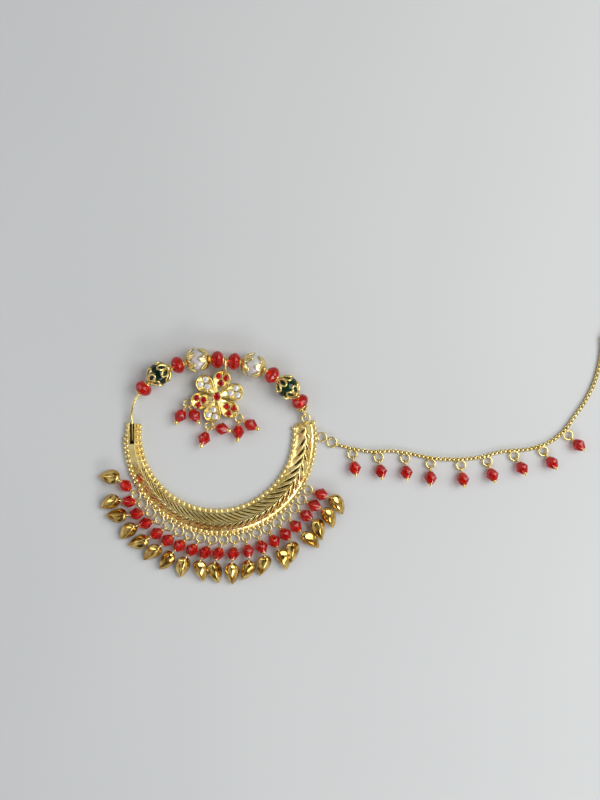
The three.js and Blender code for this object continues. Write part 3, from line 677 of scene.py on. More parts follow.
def petal_cap(name, petals, neck, base, tip, wave, thickness, vein, flare):
    """A cup of pointed petals about the X axis. base and tip are its place on X and radius there."""
    bm = bmesh.new()
    around = petals * PETAL_STEPS
    bmesh.ops.create_grid(bm, x_segments=around, y_segments=PETAL_STEPS, size=1)
    bm.verts.ensure_lookup_table()
    for i, vert in enumerate(bm.verts):
        row, column = divmod(i, around + 1)
        part = (column % around) / PETAL_STEPS
        off = abs((part % 1) - 0.5) * 2
        share = row / PETAL_STEPS
        reach = share * (1 - wave * off**1.6 * smooth(0.2, 1, share))
        bulge = math.sin(math.pi / 2 * reach)
        out = mix(base[1], tip[1], bulge) + flare * reach**4 * (1 - off)
        rib = vein * math.cos(off * math.pi * 3) * math.sin(math.pi * min(share * 1.05, 1))
        x = mix(base[0], tip[0], 1 - math.cos(math.pi / 2 * reach) if reach < 1 else 1)
        turn = math.tau * part / petals
        out = max(out + rib - PETAL_FOLD * off * share, neck)
        vert.co = (x, out * math.cos(turn), out * math.sin(turn))
    bmesh.ops.remove_doubles(bm, verts=bm.verts, dist=MERGE_DISTANCE)
    bmesh.ops.recalc_face_normals(bm, faces=bm.faces)
    bmesh.ops.solidify(bm, geom=[*bm.verts, *bm.edges, *bm.faces], thickness=thickness)
    bmesh.ops.recalc_face_normals(bm, faces=bm.faces)
    return mesh_of(bm, name)


END_CAP_GAP = 0.55
FIRST_GAP = 1.62
end_cap = petal_cap(
    "end_cap",
    petals=5,
    neck=0.45,
    base=(0.95, 0.5),
    tip=(-0.55, 1.75),
    wave=0.55,
    thickness=0.16,
    vein=0.05,
    flare=0.15,
)

# the fine wire wound about the hoop behind its hinge loop: radius, thickness, where it starts, how
# far it moves on and turns between two points, and their number
NECK_RADIUS = 0.5
NECK_WIRE = 0.17
NECK_START = 0.35
NECK_STEP = 0.12
NECK_TURN = 1.6
NECK_POINTS = 9


def turned(radius, turn):
    """A point about the X axis."""
    return Vector((0, radius * math.cos(turn), radius * math.sin(turn)))


def hoop():
    bm = bmesh.new()
    tube(bm, hoop_route, HOOP_WIRE, sides=14)
    loop = wire_loop("hinge_loop", HINGE_LOOP_RADIUS, HOOP_WIRE * 0.9)
    stamp(bm, loop, aim(HINGE_PLACE + hinge_ahead * HINGE_EYE_RADIUS, hinge_ahead))
    stamp(bm, end_cap, on_hoop(FIRST_GAP - END_CAP_GAP))
    neck = [
        on_hoop(NECK_START + NECK_STEP * i) @ turned(NECK_RADIUS, i * NECK_TURN)
        for i in range(NECK_POINTS)
    ]
    tube(bm, neck, NECK_WIRE)
    # painted shade: the wire is darkened where it lies in the socket's recess
    groove = bm.verts.layers.float.new("groove")
    for vert in bm.verts:
        in_slot = smooth(LEFT_END_TOP + 0.3, LEFT_END_TOP - 0.5, vert.co.y)
        vert[groove] = TIP_SHADE * in_slot if vert.co.x < SLOT_X + 2 else 0
    return bm


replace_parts(finished(hoop(), "hoop", "hoop", gold), "hoop_wire")


# Beads on the hoop. Cut red glass rondelles with gold washers alternate with dark green balls in
# open wirework caps and with pearls held between flaring leaf caps.

RONDELLE_RADIUS = 2.65
RONDELLE_LENGTH = 3.75
CAPPED_LENGTH = 7.3
PEARL_RADIUS = 3.25
PEARL_TIP = 3.98
GLASS_RADIUS = 3.45

# each bead's CAD node, kind and gap before it, from the hinge to the open end
BEADS = [
    ("red_bead_6", "rondelle", FIRST_GAP),
    ("green_bead_2", "glass", 0.48),
    ("red_bead_5", "rondelle", 0.5),
    ("pearl_bead_2", "pearl", 0.99),
    ("red_bead_4", "rondelle", 0.5),
    ("red_bead_3", "rondelle", 1.5),
    ("pearl_bead_1", "pearl", 0.48),
    ("red_bead_2", "rondelle", 0.87),
    ("green_bead_1", "glass", 0.93),
    ("red_bead_1", "rondelle", 1.05),
]


def length_of(kind):
    return RONDELLE_LENGTH if kind == "rondelle" else CAPPED_LENGTH


def strung():
    """Each bead's place on the hoop, and the middle of the bare wire in front of it."""
    places, gaps, distance = {}, {}, 0
    for name, kind, gap in BEADS:
        length = length_of(kind)
        places[name] = on_hoop(distance + gap + length / 2)
        gaps[name] = on_hoop(distance + gap / 2)
        distance += gap + length
    return places, gaps


bead_places, bead_gaps = strung()


def cloudy(tree, shader, scale, stops):
    """Gives a material colours that drift through stops like clouds of a given scale."""
    place = node(tree, "ShaderNodeTexCoord").outputs["Object"]
    cloud = node(tree, "ShaderNodeTexNoise", {"Vector": place, "Scale": scale, "Detail": 2})
    tree.links.new(ramp(tree, cloud.outputs["Fac"], stops), shader.inputs["Base Color"])


def red_crystal():
    """Clear red glass that glows where light comes through its facets."""
    material, tree, shader = new_material("red_crystal")
    cloudy(tree, shader, 420, [(0.35, (0.62, 0.004, 0.003)), (0.65, (0.92, 0.022, 0.008))])
    shader.inputs["Roughness"].default_value = 0.07
    shader.inputs["IOR"].default_value = 1.5
    shader.inputs["Transmission Weight"].default_value = 0.7
    return material


def dark_glass():
    """Bottle-green glass, so deep that it is nearly black."""
    material, tree, shader = new_material("dark_glass")
    cloudy(tree, shader, 300, [(0.4, (0.002, 0.01, 0.004)), (0.7, (0.004, 0.03, 0.01))])
    shader.inputs["Roughness"].default_value = 0.06
    shader.inputs["Specular IOR Level"].default_value = 0.4
    shader.inputs["Coat Weight"].default_value = 0.1
    return material


def pearl_lustre():
    """Nacre under a clear coat: a satin cream body, with the rose and green play of its sheen painted
    into the colour as faint fixed patches.
    """
    material, tree, shader = new_material("pearl_lustre")
    # the cream is the pearl's own colour; the rose and green patches are painted sheen
    body_and_sheen = [(0.32, (0.6, 0.53, 0.55)), (0.5, (0.64, 0.62, 0.6)), (0.68, (0.52, 0.56, 0.53))]
    cloudy(tree, shader, 240, body_and_sheen)
    shader.inputs["Roughness"].default_value = 0.28
    shader.inputs["Coat Weight"].default_value = 0.8
    shader.inputs["Coat Roughness"].default_value = 0.12
    return material


crystal = red_crystal()
glass = dark_glass()
pearl = pearl_lustre()


def cut_stone(name, rings):
    """A faceted solid about the X axis: each ring is its place, radius, corners and half steps."""
    bm = bmesh.new()
    for place, radius, corners, turn in rings:
        for i in range(corners):
            corner = turned(radius, math.tau * (i + turn / 2) / corners)
            bm.verts.new((place, corner.y, corner.z))
    hull = bmesh.ops.convex_hull(bm, input=bm.verts)
    bmesh.ops.delete(bm, geom=hull["geom_interior"], context="VERTS")
    bmesh.ops.recalc_face_normals(bm, faces=bm.faces)
    return mesh_of(bm, name)


rondelle = cut_stone("rondelle", [
    (-RONDELLE_LENGTH / 2, RONDELLE_RADIUS * 0.5, 12, 0),
    (-RONDELLE_LENGTH * 0.33, RONDELLE_RADIUS * 0.82, 12, 1),
    (-RONDELLE_LENGTH * 0.12, RONDELLE_RADIUS, 12, 0),
    (RONDELLE_LENGTH * 0.12, RONDELLE_RADIUS, 12, 0),
    (RONDELLE_LENGTH * 0.33, RONDELLE_RADIUS * 0.82, 12, 1),
    (RONDELLE_LENGTH / 2, RONDELLE_RADIUS * 0.5, 12, 0),
])


def drilled_ball(name, radius):
    bm = bmesh.new()
    bmesh.ops.create_uvsphere(bm, u_segments=40, v_segments=24, radius=radius)
    bmesh.ops.rotate(bm, verts=bm.verts, matrix=Matrix.Rotation(math.pi / 2, 3, "Y"))
    return mesh_of(bm, name)


def names_of(kind):
    return [name for name, own, _ in BEADS if own == kind]


def beads_of(kind, shape):
    return stamped(shape, [bead_places[name] for name in names_of(kind)])


WASHER_RADIUS = 1.12
WASHER_WIRE = 0.26
WASHER_GAP = 0.02
CAP_WASHER_SHARE = 0.95


def washers():
    """Thin gold washers at both ends of every bead."""
    washer = wire_loop("washer", WASHER_RADIUS, WASHER_WIRE)
    bm = bmesh.new()
    for name, kind, _ in BEADS:
        half = length_of(kind) / 2 + WASHER_GAP
        share = 1 if kind == "rondelle" else CAP_WASHER_SHARE
        for side in (-half, half):
            place = bead_places[name] @ Matrix.Translation((side, 0, 0)) @ ACROSS
            stamp(bm, washer, place @ Matrix.Scale(share, 4))
    return bm


# the wire petals: their number and thickness, how high they lie on the glass, how far the middle of
# each is from the bead's axis and how far it reaches to both sides, and half its width, as angles
FILIGREE_PETALS = 8
FILIGREE_WIRE = 0.33
FILIGREE_LIFT = 0.08
FILIGREE_MIDDLE = math.radians(46)
FILIGREE_REACH = math.radians(29)
FILIGREE_SPREAD = 0.31
FILIGREE_POINTS = 18
COLLAR_RADIUS = 1.2
COLLAR_WIRE = 0.42
COLLAR_SINK = 0.1


def filigree():
    """Open wire petals over both ends of a green ball, joined by a collar at each hole."""
    bm = bmesh.new()
    for side in (1, -1):
        for i in range(FILIGREE_PETALS):
            middle = math.tau * (i + (0.5 if side > 0 else 0)) / FILIGREE_PETALS
            path = []
            for j in range(FILIGREE_POINTS):
                turn = math.tau * j / FILIGREE_POINTS
                from_axis = FILIGREE_MIDDLE - FILIGREE_REACH * math.cos(turn)
                width = FILIGREE_SPREAD * math.sin(turn) * (1.1 + 0.1 * math.cos(turn))
                radius = GLASS_RADIUS + FILIGREE_LIFT
                point = turned(radius * math.sin(from_axis), middle + width)
                point.x = radius * math.cos(from_axis) * side
                path.append(point)
            tube(bm, path, FILIGREE_WIRE, closed=True)
    collar = wire_loop("collar", COLLAR_RADIUS, COLLAR_WIRE)
    for side in (-1, 1):
        hole = Matrix.Translation((side * (GLASS_RADIUS - COLLAR_SINK), 0, 0))
        stamp(bm, collar, hole @ ACROSS)
    return mesh_of(bm, "filigree")


def pearl_caps():
    """Two cups of six veined leaves whose points stand off the pearl."""
    skin = PEARL_RADIUS + 0.25
    cup = petal_cap(
        "pearl_cup",
        petals=6,
        neck=0.75,
        base=(CAPPED_LENGTH / 2, 0.8),
        tip=(0.62, skin),
        wave=0.44,
        thickness=0.26,
        vein=0.15,
        flare=PEARL_TIP - skin,
    )
    turn = Matrix.Rotation(math.pi, 4, "Z") @ Matrix.Rotation(math.pi / 6, 4, "X")
    return mesh_of(stamped(cup, [Matrix.Identity(4), turn]), "pearl_caps")


red_beads = beads_of("rondelle", rondelle)
red_beads = finished(red_beads, "red_rondelles", "hoop", crystal, flat=True)
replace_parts(red_beads, *names_of("rondelle"))
green_beads = beads_of("glass", drilled_ball("glass_ball", GLASS_RADIUS))
green_beads = finished(green_beads, "green_balls", "hoop", glass)
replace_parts(green_beads, *names_of("glass"))
pearls = beads_of("pearl", drilled_ball("pearl_ball", PEARL_RADIUS))
pearls = finished(pearls, "pearls", "hoop", pearl)
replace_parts(pearls, *names_of("pearl"))
finished(beads_of("glass", filigree()), "filigree_caps", "hoop", gold)
finished(beads_of("pearl", pearl_caps()), "leaf_caps", "hoop", gold)
finished(washers(), "washers", "hoop", gold)


# Flower pendant. Six cast petals with raised rims carry three set stones each around a raised hub,
# and a long ring hangs the flower over the hoop.

FLOWER_SIDE = -2.75
FLOWER_HANG = 2.55
FLOWER_BACK = 1.75
FLOWER_TILT = 6
PLATE_THICKNESS = 1.3
PETAL_RADIUS = 2.9
PETAL_GAP = 0.14
PETAL_DISTANCE = 5.6
PETAL_ROOT_PLACE = 1.0
PETAL_ROOT_RADIUS = 0.55
RIM_WIDTH = 0.5
RIM_TOP = PLATE_THICKNESS + 0.32
HUB_RADIUS = 1.6
HUB_HEIGHT = PLATE_THICKNESS + 0.15
HUB_SHARE = 1.22
STONE_RADIUS = 0.95
STONE_RING = 1.3
PENDANT_LOOPS = (-166, -106, -46)
PENDANT_LOOP_DISTANCE = 9.6
PENDANT_LOOP_HEIGHT = 0.28
PENDANT_LOOP_RADIUS = 1.2
PENDANT_LOOP_WIRE = 0.28

# petal angle, kind of stones
PETALS = [(74, "red"), (14, "clear"), (-46, "red"), (-106, "clear"), (-166, "red"), (134, "clear")]

# section of a petal from its back over the rim to its floor: inset from the outline and height
PETAL_SECTION = [
    (0.12, 0),
    (0, 0.15),
    (0, PLATE_THICKNESS - 0.3),
    (0.06, RIM_TOP - 0.12),
    (0.16, RIM_TOP),
    (0.3, RIM_TOP),
    (0.42, RIM_TOP - 0.1),
    (RIM_WIDTH, PLATE_THICKNESS),
]

# the cast bars between the stones: where each starts along the petal and beside its middle, how far
# they run and spread, and their thickness
BARS = [(2.94, 0.75), (3.6, 1.05)]
BAR_RUN = 1.5
BAR_SPREAD = 0.55
BAR_WIRE = 0.2
BAR_SINK = 0.1

bail_wire = bead_gaps["red_bead_3"].translation
flower_drop = PETAL_DISTANCE + PETAL_RADIUS + FLOWER_HANG
flower_centre = Vector((bail_wire.x + FLOWER_SIDE, bail_wire.y - flower_drop, FLOWER_BACK))
flower_tilt = Matrix.Rotation(math.radians(FLOWER_TILT), 4, "X")
flower_place = Matrix.Translation(flower_centre) @ flower_tilt


def on_flower(point):
    return flower_place @ Matrix.Translation(point)


def petal_outline(inset):
    """A rounded wedge from the root near the hub to the broad outer end, pulled in by an inset."""
    big = PETAL_RADIUS - PETAL_GAP - inset
    small = max(PETAL_ROOT_RADIUS - inset, 0.04)
    gap = PETAL_DISTANCE - PETAL_ROOT_PLACE
    lean = math.acos((small - big) / gap)
    points = []
    for i in range(31):
        turn = mix(-lean, lean, i / 30)
        points.append(Vector((PETAL_DISTANCE + big * math.cos(turn), big * math.sin(turn))))
    for i in range(7):
        turn = mix(lean, math.tau - lean, i / 6)
        points.append(Vector((PETAL_ROOT_PLACE + small * math.cos(turn), small * math.sin(turn))))
    return points


def petal_shape():
    """One petal: bevelled sides, a rounded raised rim and a sunken floor for the stones."""
    bm = bmesh.new()
    rings = [
        [bm.verts.new((*point, height)) for point in petal_outline(inset)]
        for inset, height in PETAL_SECTION
    ]
    for low, high in zip(rings, rings[1:]):
        for i in range(len(low)):
            bm.faces.new((low[i - 1], low[i], high[i], high[i - 1]))
    bm.faces.new(rings[0][::-1])
    bm.faces.new(rings[-1])
    bmesh.ops.recalc_face_normals(bm, faces=bm.faces)
    return mesh_of(bm, "petal")


def stone_places(petal_angle):
    """Middles of the three stones of a petal, on its floor."""
    middle = polar(PETAL_DISTANCE, petal_angle, PLATE_THICKNESS)
    return [middle + polar(STONE_RING, petal_angle + 180 + 120 * j) for j in range(3)]


def bezel_shape():
    """A thin setting wall with its edge rolled over the stone, and four grains that hold it."""
    bm = bmesh.new()
    bmesh.ops.create_circle(bm, segments=4, radius=0.08)
    bmesh.ops.scale(bm, verts=bm.verts, vec=(1, 2.6, 1))
    bmesh.ops.rotate(bm, verts=bm.verts, matrix=Matrix.Rotation(math.pi / 2, 3, "X"))
    bmesh.ops.translate(bm, verts=bm.verts, vec=(STONE_RADIUS + 0.06, 0, 0.1))
    bmesh.ops.spin(
        bm,
        geom=[*bm.verts, *bm.edges],
        axis=(0, 0, 1),
        cent=(0, 0, 0),
        steps=28,
        angle=math.tau,
        use_merge=True,
    )
    bmesh.ops.recalc_face_normals(bm, faces=bm.faces)
    for i in range(4):
        stamp(bm, ball, sized(polar(STONE_RADIUS, 45 + 90 * i, 0.3), 0.17))
    return mesh_of(bm, "bezel")


def flower_gold():
    """The cast plate with its settings, bars, hub and hanging loops."""
    bm = bmesh.new()
    petal, bezel = petal_shape(), bezel_shape()
    loop = wire_loop("pendant_loop", PENDANT_LOOP_RADIUS, PENDANT_LOOP_WIRE)
    for angle, _ in PETALS:
        place = flower_place @ Matrix.Rotation(math.radians(angle), 4, "Z")
        stamp(bm, petal, place)
        for stone in stone_places(angle):
            stamp(bm, bezel, on_flower(stone))
        for side in (-1, 1):
            for out, beside in BARS:
                start = Vector((out, side * beside, PLATE_THICKNESS - BAR_SINK))
                end = start + Vector((BAR_RUN, side * BAR_SPREAD, 0))
                tube(bm, [place @ start, place @ end], BAR_WIRE)
    for angle in PENDANT_LOOPS:
        stamp(bm, loop, on_flower(polar(PENDANT_LOOP_DISTANCE, angle, PENDANT_LOOP_HEIGHT)) @ LYING)
    hub = wire_loop("hub", 1.25, 0.3)
    stamp(bm, hub, on_flower((0, 0, PLATE_THICKNESS + 0.1)) @ LYING)
    middle = sized(Vector((0, 0, HUB_HEIGHT)), (HUB_SHARE, HUB_SHARE, 1.3))
    stamp(bm, bezel, flower_place @ middle)
    base = bmesh.ops.create_cone(
        bm,
        cap_ends=True,
        segments=32,
        radius1=HUB_RADIUS,
        radius2=HUB_RADIUS - 0.1,
        depth=PLATE_THICKNESS,
    )
    bmesh.ops.transform(bm, matrix=on_flower((0, 0, PLATE_THICKNESS / 2)), verts=base["verts"])
    return bm


def cut_top(name, radius):
    """A round stone cut with a table, a crown of eight kites and a girdle, about the Z axis."""
    shape = cut_stone(name, [
        (0, radius, 16, 0),
        (0.16, radius * 0.99, 16, 0),
        (0.36, radius * 0.8, 8, 0.5),
        (0.5, radius * 0.52, 8, 0),
    ])
    shape.transform(Matrix.Rotation(-math.pi / 2, 4, "Y"))
    return shape


def stones(kind):
    shape = cut_top("stone_" + kind, STONE_RADIUS)
    bm = bmesh.new()
    for angle, own in PETALS:
        if own == kind:
            turn = Matrix.Rotation(math.radians(angle), 4, "Z")
            for place in stone_places(angle):
                stamp(bm, shape, on_flower(place) @ turn)
    if kind == "red":
        stamp(bm, shape, flower_place @ sized(Vector((0, 0, HUB_HEIGHT)), 1.25))
    return bm


def clear_crystal():
    """Foil-backed clear glass with painted reflections: bright facets with grey and dark ones among
    them, painted into its colour as cells.
    """
    material, tree, shader = new_material("clear_crystal")
    place = node(tree, "ShaderNodeTexCoord").outputs["Object"]
    cells = node(tree, "ShaderNodeTexVoronoi", {"Vector": place, "Scale": 1500})
    # painted reflections: glints and dark reflections of the facets as cells of white, grey and dark
    # grey
    glints = [
        (0.2, (0.96, 0.96, 0.97)),
        (0.5, (0.8, 0.81, 0.84)),
        (0.62, (0.5, 0.51, 0.54)),
        (0.75, (0.93, 0.93, 0.95)),
    ]
    tone = ramp(tree, cells.outputs["Distance"], glints)
    tree.links.new(tone, shader.inputs["Base Color"])
    shader.inputs["Metallic"].default_value = 0.3
    shader.inputs["Roughness"].default_value = 0.12
    shader.inputs["Coat Weight"].default_value = 1
    return material


BAIL_RADIUS = 1.5
BAIL_STRETCH = 0.45
BAIL_WIRE = 0.34


def bail():
    """A long ring that goes over the hoop and down to the top petal."""
    bm = bmesh.new()
    shape = wire_loop("bail", BAIL_RADIUS, BAIL_WIRE, BAIL_STRETCH)
    stamp(bm, shape, aim(bail_wire + Vector((0, -1.1, -0.3)), Vector((0, 1, 0))))
    return bm


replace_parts(finished(flower_gold(), "flower", "hoop", gold), "flower_pendant")
finished(bail(), "flower_bail", "hoop", gold)
finished(stones("red"), "red_stones", "hoop", crystal, flat=True)
finished(stones("clear"), "clear_stones", "hoop", clear_crystal(), flat=True)


# Flower drops. Pairs of cut red bicones hang from the flower's loops on wrapped pins, each closed by
# a gold ball.

BEAD_HEIGHT = 2.08
TOP_LOOP = 3.025
TOP_LOOP_RADIUS = 0.78
LEAF_LOOP = 3.095
LEAF_LOOP_RADIUS = 0.85
LOOP_STRETCH = 0.16
LOOP_SEAT = 0.1
PIN_WIRE = 0.17
PIN_HALF = 2.3
END_BALL = 0.72
END_BALL_PLACE = 2
PIN_COLLAR_RADIUS = 0.5
PIN_COLLAR_WIRE = 0.13
PIN_COLLAR_PLACE = 1.98

# the wire wrapped round a pin's neck: radius, thickness, where it starts, turns and points
WRAP_RADIUS = 0.26
WRAP_WIRE = 0.13
WRAP_START = 1.95
WRAP_TURNS = 2.6
WRAP_POINTS = 22

bicone = cut_stone("bicone", [
    (-1.92, 0.84, 8, 0),
    (-1.0, 1.5, 8, 1),
    (0, 2.03, 8, 0),
    (1.0, 1.5, 8, 1),
    (1.92, 0.84, 8, 0),
])


def hanging(centre, radius, degrees, height=BEAD_HEIGHT):
    """A bead's place on the floor where its loop hangs in a ring of the given middle and radius."""
    rise = math.asin((height - centre.z - LOOP_SEAT) / TOP_LOOP)
    reach = radius + LOOP_SEAT + TOP_LOOP * math.cos(rise)
    middle = centre + polar(reach, degrees)
    middle.z = height
    return aim(middle, polar(math.cos(rise), degrees, math.sin(rise)))


def wrapped_loop(bm, side, loop_at, radius):
    """A pin's loop beyond a bead, with its wire wrapped round the neck."""
    loop = wire_loop("pin_loop", radius, PIN_WIRE, LOOP_STRETCH)
    stamp(bm, loop, Matrix.Translation((side * loop_at, 0, 0)))
    end = loop_at - radius - LOOP_STRETCH + 0.1
    path = []
    for i in range(WRAP_POINTS + 1):
        point = turned(WRAP_RADIUS, math.tau * WRAP_TURNS * i / WRAP_POINTS)
        point.x = side * mix(WRAP_START, end, i / WRAP_POINTS)
        path.append(point)
    tube(bm, path, WRAP_WIRE)


def pin_shape(name, end_ball=None):
    """A bead's pin: a loop at the top and, below, a ball or a second loop."""
    bm = bmesh.new()
    tube(bm, [Vector((-PIN_HALF, 0, 0)), Vector((PIN_HALF, 0, 0))], PIN_WIRE)
    wrapped_loop(bm, -1, TOP_LOOP, TOP_LOOP_RADIUS)
    if end_ball:
        stamp(bm, ball, sized(Vector((END_BALL_PLACE + end_ball * 0.75, 0, 0)), end_ball))
    else:
        wrapped_loop(bm, 1, LEAF_LOOP, LEAF_LOOP_RADIUS)
    collar = wire_loop("pin_collar", PIN_COLLAR_RADIUS, PIN_COLLAR_WIRE)
    for side in (-1, 1):
        stamp(bm, collar, Matrix.Translation((side * PIN_COLLAR_PLACE, 0, 0)) @ ACROSS)
    return mesh_of(bm, name)


balled_pin = pin_shape("balled_pin", END_BALL)
looped_pin = pin_shape("looped_pin")

# pendant loop, direction of the bead
FLOWER_DROPS = [(0, 240), (0, 301), (1, 250), (1, 347), (2, 267), (2, 331)]


def flower_drop_places():
    places = []
    for loop, degrees in FLOWER_DROPS:
        ring = polar(PENDANT_LOOP_DISTANCE, PENDANT_LOOPS[loop], PENDANT_LOOP_HEIGHT)
        places.append(hanging(flower_place @ ring, PENDANT_LOOP_RADIUS, degrees))
    return places


flower_drops = flower_drop_places()
drop_beads = stamped(bicone, flower_drops)
drop_beads = finished(
    drop_beads, "flower_drop_beads", "hoop", crystal, flat=True
)
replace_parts(drop_beads, *(f"flower_drop_{i + 1}" for i in range(len(FLOWER_DROPS))))
finished(stamped(balled_pin, flower_drops), "flower_drop_pins", "hoop", gold)


# Fringe beads. Cut red glass bicones, each threaded on a gold wire pin. The pin's upper loop hangs in
# one of the crescent's nineteen rings, and its lower loop carries a leaf.

# direction of the bead, direction of its leaf, the leaf's roll
FRINGE = [
    (135, 178, 10),
    (168, 210, -10),
    (184, 183, 12),
    (193, 225, -12),
    (210, 196, 12),
    (218, 220, -15),
    (225, 231, 15),
    (233, 256, -10),
    (241, 284, 12),
    (249, 285, -10),
    (264, 272, 5),
    (279, 242, 12),
    (291, 250, -20),
    (300, 289, 20),
    (307, 265, -12),
    (314, 318, 20),
    (329, 286, -15),
    (336, 293, 10),
    (343, 300, 8),
]

fringe_places = [hanging(place, EYELET_RADIUS, row[0]) for place, row in zip(eyelets, FRINGE)]
fringe_beads = stamped(bicone, fringe_places)
fringe_beads = finished(
    fringe_beads, "fringe_beads", "crescent", crystal, flat=True
)
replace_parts(fringe_beads, *(f"fringe_bead_{i + 1}" for i in range(EYELET_COUNT)))
finished(stamped(looped_pin, fringe_places), "fringe_pins", "crescent", gold)


# Leaves. Stamped hollow leaves of thin gold sheet, keeled along the middle, each hung by its round
# end from a fringe bead's pin.

LEAF_LENGTH = 7.5
LEAF_HALF_WIDTH = 2.3
LEAF_HEIGHT = 1.75
LEAF_WALL = 0.26
LEAF_HOLE_PLACE = 1.1
LEAF_HANG_HEIGHT = 0.52
LEAF_DIP = 18
LEAF_FLOOR = 0.02
LEAF_STEPS = 20
LEAF_SIDES = 6


def leaf_half_width(share):
    """Half the leaf's width from its round end to its point."""
    return LEAF_HALF_WIDTH * 2.435 * share**0.5 * (1 - share) ** 0.85


def leaf_shape():
    """The leaf's puffed skin as a grid drawn to the outline, then thickened."""
    bm = bmesh.new()
    bmesh.ops.create_grid(bm, x_segments=LEAF_SIDES * 2, y_segments=LEAF_STEPS, size=1)
    bm.verts.ensure_lookup_table()
    across = LEAF_SIDES * 2 + 1
    for i, vert in enumerate(bm.verts):
        row, column = divmod(i, across)
        share = 0.5 - 0.5 * math.cos(math.pi * mix(0.02, 0.985, row / LEAF_STEPS))
        side = (column - LEAF_SIDES) / LEAF_SIDES
        half = leaf_half_width(share)
        puff = math.sqrt(half / LEAF_HALF_WIDTH)
        keel = 0.55 * (1 - side**2) + 0.45 * (1 - abs(side)) ** 0.9
        vert.co = (LEAF_LENGTH * share, half * side, LEAF_HEIGHT * puff * keel + LEAF_FLOOR)
    bmesh.ops.remove_doubles(bm, verts=bm.verts, dist=MERGE_DISTANCE)
    bmesh.ops.recalc_face_normals(bm, faces=bm.faces)
    if sum(face.normal.z for face in bm.faces) < 0:
        bmesh.ops.reverse_faces(bm, faces=bm.faces)
    bmesh.ops.solidify(bm, geom=[*bm.verts, *bm.edges, *bm.faces], thickness=LEAF_WALL)
    return mesh_of(bm, "leaf")


def leaf_places():
    places = []
    for bead, (_, degrees, roll) in zip(fringe_places, FRINGE):
        hang = bead @ Vector((LEAF_LOOP + LEAF_LOOP_RADIUS + LOOP_STRETCH, 0, 0))
        turn = Matrix.Rotation(math.radians(degrees), 4, "Z")
        dip = Matrix.Rotation(math.radians(LEAF_DIP), 4, "Y")
        tilt = Matrix.Rotation(math.radians(roll), 4, "X")
        back = Matrix.Translation((-LEAF_HOLE_PLACE, 0, -LEAF_HANG_HEIGHT))
        places.append(Matrix.Translation(hang) @ turn @ dip @ tilt @ back)
    return places


stamped_gold = gold_metal("stamped_gold", (0.38, 0.17, 0.025), (0.95, 0.69, 0.22), 0.13, 380)
leaves = stamped(leaf_shape(), leaf_places())
leaves = finished(leaves, "leaves", "crescent", stamped_gold)
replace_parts(leaves, *(f"leaf_{i + 1}" for i in range(EYELET_COUNT)))


# Link ring. A flat jump ring of gold wire, tied to the crescent's last ring by a small standing link.
# The chain starts from its far side.

LINK_DIRECTION = polar(1, -27)
LINK_START = Vector((*chain_eyelet.xy, 1))
LINK_RADIUS = 1.45
LINK_WIRE = 0.29
LINK_REACH = 3.46
SMALL_LINK_RADIUS = 0.66
SMALL_LINK_WIRE = 0.2
SMALL_LINK_REACH = 1.35


def link():
    """The ring lying on the floor, and the small standing link that ties it to the crescent."""
    lying = Matrix.Translation(LINK_START + LINK_DIRECTION * LINK_REACH) @ LYING
    bm = stamped(wire_loop("link_ring", LINK_RADIUS, LINK_WIRE), [lying])
    standing = aim(LINK_START + LINK_DIRECTION * SMALL_LINK_REACH, LINK_DIRECTION)
    stamp(bm, wire_loop("small_link", SMALL_LINK_RADIUS, SMALL_LINK_WIRE), standing)
    return bm


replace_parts(finished(link(), "link", "crescent", gold), "link_ring")


# Drop chain. A fine box chain of gold strip bent into square links, each turned a quarter from the
# last. Nine cut red bicones hang from it on rings, their wrapped pins closed by small balls.

CHAIN_START = 5.57
CHAIN_HEIGHT = 0.58
CHAIN_END_HEIGHT = 1.08

# points of the chain's route as seen from the ring's centre
CHAIN_POINTS = [
    (41.3, -3.2),
    (46.6, -4.1),
    (52.8, -3.9),
    (57.6, -4.4),
    (62.9, -5.6),
    (68.5, -6.4),
    (74.7, -6.5),
    (81, -5.8),
    (87.2, -4.2),
    (91.9, -3.7),
    (96.6, -3.2),
    (102.3, -1.3),
    (106.6, 2),
    (110.4, 7),
    (113.8, 12),
    (116.3, 17),
    (118.3, 24),
    (119.2, 30),
]
# place along the chain as a share of its length, direction of the bead
CHAIN_DROPS = [
    (0.042, 279),
    (0.122, 278),
    (0.203, 274),
    (0.283, 268),
    (0.372, 276),
    (0.449, 288),
    (0.528, 300),
    (0.615, 305),
    (0.702, 315),
]
CHAIN_DROP_REACH = 6.1
CHAIN_RING_RADIUS = 1.4
CHAIN_RING_HEIGHT = 0.9
CHAIN_RING_WIRE = 0.29
CHAIN_END_RADIUS = 1.0
CHAIN_END_WIRE = 0.25
CHAIN_END_BALL = 0.46
BOX_LENGTH = 0.96
BOX_WIDTH = 1.06
BOX_WALL = 0.12
BOX_STRIP = 0.74
BOX_EASE = 0.2
BOX_PITCH = 0.68


def chain_route():
    start = (LINK_START + LINK_DIRECTION * CHAIN_START).xy
    points = [Vector((x, y, CHAIN_HEIGHT)) for x, y in [start, *CHAIN_POINTS]]
    points[-1].z = CHAIN_END_HEIGHT
    return through(points)


chain_line = chain_route()
chain_length = route_length(chain_line)
chain_end, chain_ahead = along(chain_line, chain_length)
chain_ahead = Vector((chain_ahead.x, chain_ahead.y, 0)).normalized()
chain_stop = chain_end + chain_ahead * CHAIN_END_RADIUS


